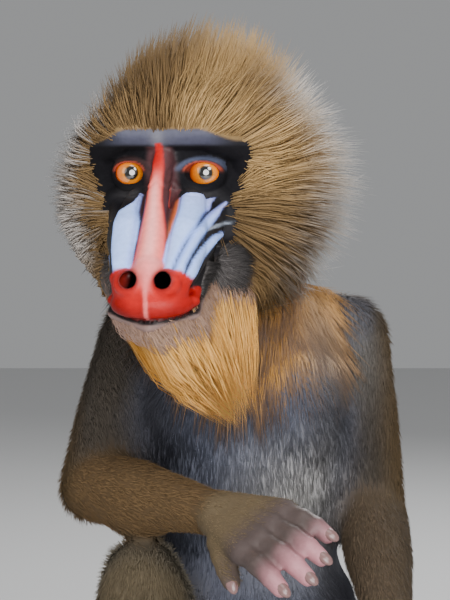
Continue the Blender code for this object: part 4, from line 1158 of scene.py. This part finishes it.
draw = np.random.default_rng(SEED)
on_head = (np.linalg.norm((in_head - (0, 0.06, 0)) / (0.13, 0.16, 0.12), axis=1) < 1).astype(float)
thicker = eased(-in_head[:, 0], 0.028, 0.045) * eased(-in_head[:, 2], 0.0, 0.03) * (in_head[:, 1] < 0.07)
roots, normals = rooted(draw, HEAD_HAIRS, hair_allowed(in_head) * on_head * (1 + 1.8 * thicker))
turn = np.array(HEAD_TO_WORLD.to_3x3())
root_h = head_places(roots)
normal_h = normals @ turn
lie = hair_lie(root_h, normal_h)
groups = clumped(draw, root_h, HEAD_CLUMPS)
sweep = draw.uniform(0.50, 0.78, HEAD_CLUMPS)[groups] + draw.uniform(-0.07, 0.07, HEAD_HAIRS)
stray = draw.normal(0, 0.018, (HEAD_CLUMPS, 3))[groups] + draw.normal(0, 0.024, (HEAD_HAIRS, 3))
tip_ways = unit(unit(root_h - HAIR_CENTRE) + lie * sweep[:, None] + stray)
reach = draw.uniform(0.95, 1.01, HEAD_CLUMPS)[groups] * draw.uniform(0.76, 1.02, HEAD_HAIRS)
tips_h = HAIR_CENTRE + tip_ways * (hair_reach(tip_ways) * reach)[:, None]
short = np.where(draw.random(HEAD_HAIRS) < SHORT_SHARE, draw.uniform(0.22, 0.65, HEAD_HAIRS), 1.0)
short = np.where(root_h[:, 1] < -0.028, short * 0.4, short)
tips_h = root_h + (tips_h - root_h) * short[:, None]
length = np.linalg.norm(tips_h - root_h, axis=1)
middles_h = root_h + (normal_h * 0.50 + lie * 0.50) * (length * 0.50)[:, None]
paths = bent_paths(root_h - normal_h * 0.002, middles_h, tips_h, LONG_SHARES)
paths = paths @ turn.T + np.array(eye_middle)
across = np.cross(normal_h, lie) @ turn.T
tone = draw.normal(0.20, 0.09, HEAD_CLUMPS)[groups] + draw.normal(0, 0.08, HEAD_HAIRS)
tone = tone + 0.25 * eased(tip_ways[:, 2], -0.10, 0.50)
tone = np.clip(tone + 0.75 * eased(tip_ways[:, 0], 0.0, 0.45) * eased(tip_ways[:, 2], -0.25, 0.1), 0, 1.6)
tone = tone - 0.80 * eased(tip_ways[:, 2], -0.5, 0.4) * (1 - eased(tip_ways[:, 0], -0.1, 0.3))
body_tone = mixed(HAIR_OLIVE, tone, HAIR_GOLD)
darker = (draw.random(HEAD_CLUMPS)[groups] < 0.12) * 0.15
near_face = 1 - eased(np.linalg.norm((root_h - FACE_CENTRE) / (0.075, 0.2, 0.062), axis=1), 0.95, 1.25)
near_face *= 1 - eased(root_h[:, 2], -0.035, -0.005)
darker = np.maximum(darker, near_face * 0.45)
lower_left = eased(-tip_ways[:, 2], 0.25, 0.60) * eased(tip_ways[:, 0], 0.10, 0.40)
darker = np.maximum(darker, lower_left * 0.55)
darker = np.clip(darker + bump_at(tips_h, (0.085, 0.04, 0.085), 0.035) * 0.45, 0, 0.8)
body_tone = mixed(body_tone, darker, HAIR_DARK)
rim = eased(np.abs(tip_ways[:, 0]), 0.50, 0.80) * eased(reach, 0.84, 0.95) * (short > 0.9)
on_left = eased(tip_ways[:, 1], -0.42, -0.15) * (1 - eased(tip_ways[:, 1], 0.30, 0.55))
rim *= np.where(tip_ways[:, 0] < 0, on_left, eased(tip_ways[:, 1], -0.35, 0.0))
rim *= 1 - eased(tip_ways[:, 2], 0.60, 0.85)
rim *= 1 - 0.6 * eased(-tip_ways[:, 2], 0.55, 0.85)
tip_tone = mixed(body_tone * 1.15, rim, HAIR_PALE)
body_tone = mixed(body_tone, rim * np.where(tip_ways[:, 0] < 0, 0.50, 0.05), HAIR_PALE)
hair_colours = tuft_colours(body_tone * 0.80, body_tone, tip_tone, LONG_SHARES)
width = HAIR_WIDTH * draw.uniform(0.7, 1.3, HEAD_HAIRS)
thick = HAIR_THICK * draw.uniform(0.8, 1.2, HEAD_HAIRS)
hair_material = marked_material("hair", roughness=0.70, gloss=0.12, speckle_scale=900, speckle=0.10,
                                bump_scale=1500, bump=0.2)
forward_half = root_h[:, 1] < NAPE_START
beside_face = forward_half & (root_h[:, 2] <= CREST_START)
on_right = beside_face & (root_h[:, 0] < 0)
high = root_h[:, 2] > JOWL_TOP
pieces = {
    "crest": forward_half & ~beside_face,
    "nape": ~forward_half,
    "ruff_right": on_right & high,
    "jowl_right": on_right & ~high,
    "ruff_left": beside_face & ~on_right,
}
for name, chosen in pieces.items():
    mesh = tuft_mesh(name, paths[chosen], across[chosen], width[chosen], thick[chosen], LONG_TAPER,
                     hair_colours[chosen])
    mesh.materials.append(hair_material)
    piece = shown(name, mesh)
    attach(piece, "root")
    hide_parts("head")

# The beard. It hangs from chin, lips and jaw to one point below the animal's left cheek, whitish
# under the lip, then golden, and deeper orange along its lower edge.
BEARD_TIP = np.array((0.056, -0.030, -0.186))
JAW_MIDDLE = np.array((0, -0.040, -0.098))
BEARD_HAIRS = 13000
BEARD_CLUMPS = 700
BEARD_WHITE = np.array((0.300, 0.205, 0.180))
BEARD_GOLD = np.array((0.860, 0.480, 0.140))
BEARD_ORANGE = np.array((0.600, 0.260, 0.035))

on_jaw = (1 + 2.5 * eased(lip_height(in_head), -0.010, -0.002))
on_jaw *= eased(-lip_height(in_head), -0.0002, 0.0014) * (in_head[:, 2] > -0.165) * (in_head[:, 1] < 0.020)
on_jaw *= (np.abs(in_head[:, 0]) < 0.062) * (in_head[:, 1] > -0.110)
on_cheek = eased(in_head[:, 0], 0.040, 0.050) * (in_head[:, 2] < -0.078) * (in_head[:, 1] < 0.020)
roots, normals = rooted(draw, BEARD_HAIRS, np.maximum(on_jaw, on_cheek * (in_head[:, 2] > -0.165)))
root_h, normal_h = head_places(roots), normals @ turn
groups = clumped(draw, root_h, BEARD_CLUMPS)
spread = (root_h - JAW_MIDDLE) * np.array((0.22, 0.30, 0.20))
far = draw.uniform(0.45, 1.0, BEARD_CLUMPS)[groups] * draw.uniform(0.75, 1.02, BEARD_HAIRS)
pale = (1 - eased(-lip_height(root_h), 0.008, 0.034)) * (draw.random(BEARD_HAIRS) < 0.75)
far = np.where(pale > 0.3, draw.uniform(0.08, 0.30, BEARD_HAIRS), far)
tips_h = root_h + (BEARD_TIP + spread - root_h) * far[:, None] + draw.normal(0, 0.0022, (BEARD_HAIRS, 3))
length = np.linalg.norm(tips_h - root_h, axis=1)
middles_h = (root_h + tips_h) / 2 + (normal_h * 0.16 + np.array((-0.04, -0.04, -0.10))) * length[:, None]
paths = bent_paths(root_h - normal_h * 0.002, middles_h, tips_h, LONG_SHARES) @ turn.T + np.array(eye_middle)
across = np.cross(normal_h, unit(tips_h - root_h)) @ turn.T
tone = draw.normal(0.30, 0.25, BEARD_CLUMPS)[groups] + eased(-root_h[:, 0], 0.0, 0.03) * 0.8
gold = mixed(BEARD_GOLD, np.clip(tone, 0, 1), BEARD_ORANGE)
gold = gold * (1 - 0.35 * eased(-root_h[:, :1], -0.005, 0.020))
gold = mixed(gold, pale * 0.85, BEARD_WHITE)
bright_tip = 1.25 + 0.65 * eased(far, 0.5, 0.9)[:, None]
beard_colours = tuft_colours(gold * 0.75, gold * 0.95, gold * bright_tip, LONG_SHARES)
width = HAIR_WIDTH * draw.uniform(0.6, 1.1, BEARD_HAIRS)
mesh = tuft_mesh("beard", paths, across, width, width * 0.18, LONG_TAPER, beard_colours)
mesh.materials.append(hair_material)
beard = shown("beard", mesh)
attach(beard, "root")
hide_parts("lower_jaw")

# The cheeks' short hair, behind the ridges and beside the mouth. It lies back and down, charcoal
# under the sockets and grey, then whitish, towards the lips.
CHEEK_HAIRS = 12000
CHEEK_DARK = np.array((0.024, 0.021, 0.021))
CHEEK_GREY = np.array((0.155, 0.142, 0.138))
BLADE_SHARES = (0.0, 1.0)
BLADE_TAPER = np.array((1.0,))

unset = in_head.copy()
unset[:, 0] -= muzzle_shift(in_head)
along, round_it = muzzle_chart(unset)
ridge_edge = np.interp(along, (0, 20, 45, 70, 92), (96, 88, 74, 64, 76))
on_cheek = eased(round_it - ridge_edge, -1, 4) * (in_head[:, 2] < -0.030) * (in_head[:, 1] < 0.034)
on_cheek *= eased(lip_height(in_head) + 0.08 * eased(np.abs(unset[:, 0]), 0.034, 0.042), 0.002, 0.004)
on_cheek *= (in_head[:, 1] > -0.082) * (1 - eased(hair_allowed(in_head), 0.9, 1.0))
roots, normals = rooted(draw, CHEEK_HAIRS, on_cheek)
root_h, normal_h = head_places(roots), normals @ turn
way = np.array((0, 0.75, -0.50)) + root_h * ((5, 0, 0),) + draw.normal(0, 0.10, (CHEEK_HAIRS, 3))
lie = unit(way - normal_h * (way * normal_h).sum(1, keepdims=True))
length = draw.uniform(0.007, 0.013, CHEEK_HAIRS) * (0.7 + 1.0 * eased(root_h[:, 1], -0.06, 0.0))
tips_h = root_h + (lie * 0.95 + normal_h * 0.26) * length[:, None]
paths = np.stack([root_h - normal_h * 0.001, tips_h], 1) @ turn.T + np.array(eye_middle)
grey = eased(-root_h[:, 2], 0.040, 0.080) * draw.uniform(0.1, 1.2, CHEEK_HAIRS)
tone = mixed(CHEEK_DARK, grey, CHEEK_GREY)
cheek_colours = tuft_colours(tone * 0.6, tone, tone * 1.4, BLADE_SHARES)
width = draw.uniform(0.0007, 0.0011, CHEEK_HAIRS)
across = np.cross(normals, lie @ turn.T)
mesh = tuft_mesh("cheek_hair", paths, across, width, width * 0.25, BLADE_TAPER, cheek_colours)
mesh.materials.append(hair_material)
cheek_hair = shown("cheek_hair", mesh)
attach(cheek_hair, "root")
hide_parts("head")

# The throat's and neck's mane, golden brown. It hangs from under the ruff over chest, shoulders
# and back, and its tips fade to the body's grey.
MANE_HAIRS = 17000
MANE_CLUMPS = 1000
MANE_GOLD = np.array((0.600, 0.305, 0.080))
MANE_BROWN = np.array((0.360, 0.180, 0.048))
MANE_TIP = np.array((0.105, 0.115, 0.155))
MANE_CLEARANCE = 0.007
neck_low, neck_high = (np.array(eye_middle + point) for point in (NECK_CHAIN[0][0], NECK_CHAIN[2][0]))
neck_way = neck_high - neck_low
neck_share = (skin_places - neck_low) @ neck_way / (neck_way @ neck_way)
to_neck = np.linalg.norm(skin_places - neck_low - neck_share[:, None] * neck_way, axis=1)
on_neck = eased(neck_share, -0.25, 0.0) * (1 - eased(neck_share, 1.1, 1.4)) * (to_neck < 0.080)
on_neck *= (in_head[:, 1] > 0.030) | (in_head[:, 2] < -0.100)
left_side = eased(skin_places[:, 0] - eye_middle.x, -0.020, 0.030)
behind = eased(skin_places[:, 1] - neck_low[1], -0.020, 0.020)
roots, normals = rooted(draw, MANE_HAIRS, on_neck * np.maximum(np.maximum(left_side, behind), 0.12))
groups = clumped(draw, roots, MANE_CLUMPS)
out = roots - neck_low
out[:, 2] = 0
out = unit(out)
forward = np.clip(-out[:, 1], 0, 1)
fall = unit(out * (0.60 - 0.35 * forward)[:, None] + np.array((0, 0, -1)))
right_front = eased(-out[:, 1], -0.3, 0.3) * (1 - eased(roots[:, 0] - eye_middle.x, -0.010, 0.035))
length = (0.050 + 0.020 * forward) * (1 - 0.55 * right_front) * draw.uniform(0.75, 1.1, MANE_CLUMPS)[groups]
length *= draw.uniform(0.70, 1.05, MANE_HAIRS)
stray = draw.normal(0, 0.05, (MANE_CLUMPS, 3))[groups] + draw.normal(0, 0.04, (MANE_HAIRS, 3))
tips = roots + (fall + stray) * length[:, None] + out * 0.012
middles = roots + (normals * 0.8 + fall * 0.4) * (length * 0.40)[:, None]
paths = bent_paths(roots - normals * 0.002, middles, tips, LONG_SHARES)


def kept_out(points, clearance):
    """Points moved out of the skin where they would lie in it or too near."""
    kept = points.copy()
    for index, point in enumerate(points.tolist()):
        spot, normal, _, distance = skin_tree.find_nearest(point)
        inside = (Vector(point) - spot).dot(normal) < 0
        if inside or distance < clearance:
            kept[index] = spot + normal * clearance
    return kept


for step in (1, 2):
    paths[:, step] = kept_out(paths[:, step], MANE_CLEARANCE)
tone = draw.normal(0.55, 0.18, MANE_CLUMPS)[groups] + draw.normal(0, 0.10, MANE_HAIRS)
body_tone = mixed(MANE_BROWN, np.clip(tone, 0, 1), MANE_GOLD)
body_tone = mixed(body_tone, eased(out[:, 1], -0.1, 0.5), HAIR_OLIVE)
body_tone = mixed(body_tone, 0.92 * right_front, CHEEK_DARK)
to_left = roots[:, 0] - eye_middle.x
# painted highlight: forward mane hairs towards the animal's left shoulder turn silver grey, and their grey
# tips are painted darker in shade further out
body_tone = mixed(body_tone, forward * eased(to_left, 0.080, 0.115) * 0.8, np.array(SILVER_HIGHLIGHT) * 0.6)
shaded = (1 - 0.55 * eased(to_left, 0.095, 0.125))[:, None]
mane_tips = mixed(body_tone, forward * 0.85, MANE_TIP * shaded)
mane_colours = tuft_colours(body_tone * 0.8, body_tone, mane_tips, LONG_SHARES)
width = HAIR_WIDTH * draw.uniform(0.7, 1.3, MANE_HAIRS)
mesh = tuft_mesh("mane", paths, np.cross(normals, fall), width, width * 0.18, LONG_TAPER, mane_colours)
mesh.materials.append(hair_material)
mane = shown("mane", mesh)
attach(mane, "root")
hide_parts("neck")

# The body's coat: short tufts that lie down the limbs and the trunk. Chest and belly are blue
# grey with painted shade at the sides and a painted silver highlight, arms and back olive brown.
# Fingers, toes, palms and seat pads stay bare.
COAT_HAIRS = 132000
COAT_WIDTH = 0.0014
TIP_CLEARANCE = 0.001
COAT_LENGTH = {"chest": 0.020, "belly": 0.020, "pelvis": 0.020, "tail": 0.016, "upper_arm": 0.018,
               "forearm": 0.014, "thigh": 0.018, "shin": 0.014, "hand": 0.007, "foot": 0.006}
NEXT_PART = {"chest": "belly", "belly": "pelvis", "pelvis": "pelvis", "tail": "tail", "upper_arm": "forearm",
             "forearm": "hand", "hand": "hand", "thigh": "shin", "shin": "foot", "foot": "foot"}


def node_middle(node):
    """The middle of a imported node's box."""
    low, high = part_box(node)
    return np.array((low + high) / 2)


def part_way(node):
    """The way that the coat lies on a body part: along it, towards the next one."""
    name = limb_name(node)
    if name in TRUNK:
        return np.array((0, 0.05, -1))
    if name == "tail":
        return np.array((0, 0.6, 0.8))
    following = node.replace(name, NEXT_PART[name])
    if following != node:
        return unit(node_middle(following) - node_middle(node))
    before = {"hand": "forearm", "foot": "shin"}[name]
    way = node_middle(node) - node_middle(node.replace(name, before))
    return unit(way * ((1, 1, 0) if name == "foot" else (1, 1, 1)))


coat_lengths = np.array([COAT_LENGTH[limb_name(node)] for node in body_nodes])
extremity = np.clip(share_of(skin_shares, *EXTREMITIES), 0, 1)
upper_side = eased(skin_facings[:, 2], -0.35, 0.15)
furred = 1 - extremity * (1 - (1 - eased(digit_share(skin_places), 0.35, 0.55)) * upper_side * 2.2)
not_head = 1 - eased(head_part, 0.2, 0.6)
density = not_head * (1 - on_neck * 0.5) * eased(skin_places[:, 2], 0.006, 0.016) * furred
density *= 1 - eased(seat_share(skin_places, skin_shares), 0.25, 0.5)
roots, normals = rooted(draw, COAT_HAIRS, density)
nearest = KDTree(len(skin_places))
for index, place in enumerate(skin_places.tolist()):
    nearest.insert(place, index)
nearest.balance()
root_corner = np.array([nearest.find(root)[1] for root in roots.tolist()])
root_shares = skin_shares[root_corner]
ways = np.array([part_way(node) for node in body_nodes])
way = unit(root_shares @ ways + draw.normal(0, 0.10, (COAT_HAIRS, 3)))
across_skin = eased(np.abs((way * normals).sum(1)), 0.55, 0.95)
way = way + np.array((0, 0, -1.0)) * across_skin[:, None]
lie = unit(way - normals * (way * normals).sum(1, keepdims=True))
length = (root_shares @ coat_lengths) * draw.uniform(0.75, 1.15, COAT_HAIRS)
tips = roots + (lie * 0.97 + normals * draw.uniform(0.06, 0.18, (COAT_HAIRS, 1))) * length[:, None]
tips[:, 2] = np.maximum(tips[:, 2], TIP_CLEARANCE)
paths = np.stack([roots - normals * 0.001, tips], 1)
tone = coat_colours(roots, root_shares) * draw.normal(1.0, 0.10, (COAT_HAIRS, 1)).clip(0.6, 1.5)
colours = tuft_colours(tone * 0.85, tone, tone * 1.2, BLADE_SHARES)
width = COAT_WIDTH * draw.uniform(0.7, 1.3, COAT_HAIRS) * (0.6 + 0.4 * eased(length, 0.006, 0.014))
across = np.cross(normals, lie)
pieces = {"coat_breast": ("grey_coat", "chest", "belly"), "coat_rump": ("olive_coat", "pelvis", "tail")}
for side in SIDES:
    pieces[f"coat_arm_{side}"] = ("olive_coat", f"upper_arm_{side}", f"forearm_{side}", f"hand_{side}")
for side in SIDES:
    pieces[f"coat_leg_{side}"] = ("grey_coat", f"thigh_{side}", f"shin_{side}", f"foot_{side}")
owner = np.argmax([share_of(root_shares, *owned) for _, *owned in pieces.values()], axis=0)
for index, (name, (slot, node, *_)) in enumerate(pieces.items()):
    chosen = owner == index
    mesh = tuft_mesh(name, paths[chosen], across[chosen], width[chosen], width[chosen] * 0.25,
                     BLADE_TAPER, colours[chosen])
    mesh.materials.append(hair_material)
    piece = shown(name, mesh)
    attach(piece, "root")
    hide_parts(node)

# The nails of fingers, thumbs and toes: small curved plates of dark horn, set in the skin.
NAIL_HORN = (0.170, 0.095, 0.090, 1)
nail_work = bmesh.new()
for tip, heading, outside, girth in nails:
    across_tip = heading.cross(outside).normalized()
    turn_in = Matrix((across_tip, heading, outside)).transposed().to_4x4()
    place = tip + outside * girth * 0.55 + heading * girth * 0.36
    size = Matrix.Diagonal((girth * 0.66, girth * 1.12, girth * 0.50, 1))
    matrix = Matrix.Translation(place) @ turn_in @ size
    bmesh.ops.create_uvsphere(nail_work, u_segments=16, v_segments=12, radius=1, matrix=matrix)
nail_mesh = mesh_of(nail_work, "nails")
nail_mesh.shade_smooth()
nail_mesh.materials.append(new_material("nail_horn", {"Base Color": NAIL_HORN, "Roughness": 0.22})[0])
nail_piece = shown("nails", nail_mesh)
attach(nail_piece, "root")
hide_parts("hand_right", "hand_left", "foot_right", "foot_left")

# The stage, which isn't part of the animal: a plain pale floor, five soft lights from front, sides,
# above and behind, and the camera at the picture's angle.
FLOOR_PALE = (0.62, 0.62, 0.62, 1)
floor_work = bmesh.new()
bmesh.ops.create_grid(floor_work, x_segments=2, y_segments=2, size=4)
floor = shown("floor", mesh_of(floor_work, "floor"))
floor.data.materials.append(new_material("pale_floor", {"Base Color": FLOOR_PALE, "Roughness": 0.8})[0])

world = bpy.data.worlds.new("studio")
world.use_nodes = True
world.node_tree.nodes["Background"].inputs["Color"].default_value = (0.70, 0.71, 0.72, 1)
world.node_tree.nodes["Background"].inputs["Strength"].default_value = 0.45
bpy.context.scene.world = world


def add_light(name, place, target, size, power):
    """A round soft light."""
    data = bpy.data.lights.new(name, "AREA")
    data.shape = "DISK"
    data.size = size
    data.energy = power
    made = bpy.data.objects.new(name, data)
    made.location = place
    made.rotation_euler = (Vector(target) - Vector(place)).to_track_quat("-Z", "Y").to_euler()
    bpy.context.scene.collection.objects.link(made)


face_middle = eye_middle + Vector((0, -0.05, -0.05))
add_light("front", eye_middle + Vector((0.07, -1.75, 0.14)), face_middle, 1.2, 42)
add_light("key", eye_middle + Vector((0.75, -1.30, 0.95)), face_middle, 0.7, 16)
add_light("fill", eye_middle + Vector((-1.4, -0.9, 0.5)), face_middle, 1.2, 5)
add_light("top", eye_middle + Vector((0.10, -0.55, 1.35)), face_middle + Vector((0, 0.1, 0.1)), 1.0, 9)
add_light("rim", eye_middle + Vector((0.6, 1.5, 1.0)), face_middle, 0.8, 26)

CAMERA_OFFSET = Vector((0.043, -1.250, -0.010))
CAMERA_DOWN = math.radians(4)
FOCAL_PIXELS = 1625
PICTURE_HEIGHT = 600
camera_data = bpy.data.cameras.new("camera")
camera_data.sensor_fit = "VERTICAL"
camera_data.sensor_height = 36
camera_data.lens = FOCAL_PIXELS / PICTURE_HEIGHT * camera_data.sensor_height
camera = bpy.data.objects.new("camera", camera_data)
camera.location = eye_middle + CAMERA_OFFSET
camera.rotation_euler = (math.radians(90) - CAMERA_DOWN, 0, 0)
bpy.context.scene.collection.objects.link(camera)
bpy.context.scene.camera = camera
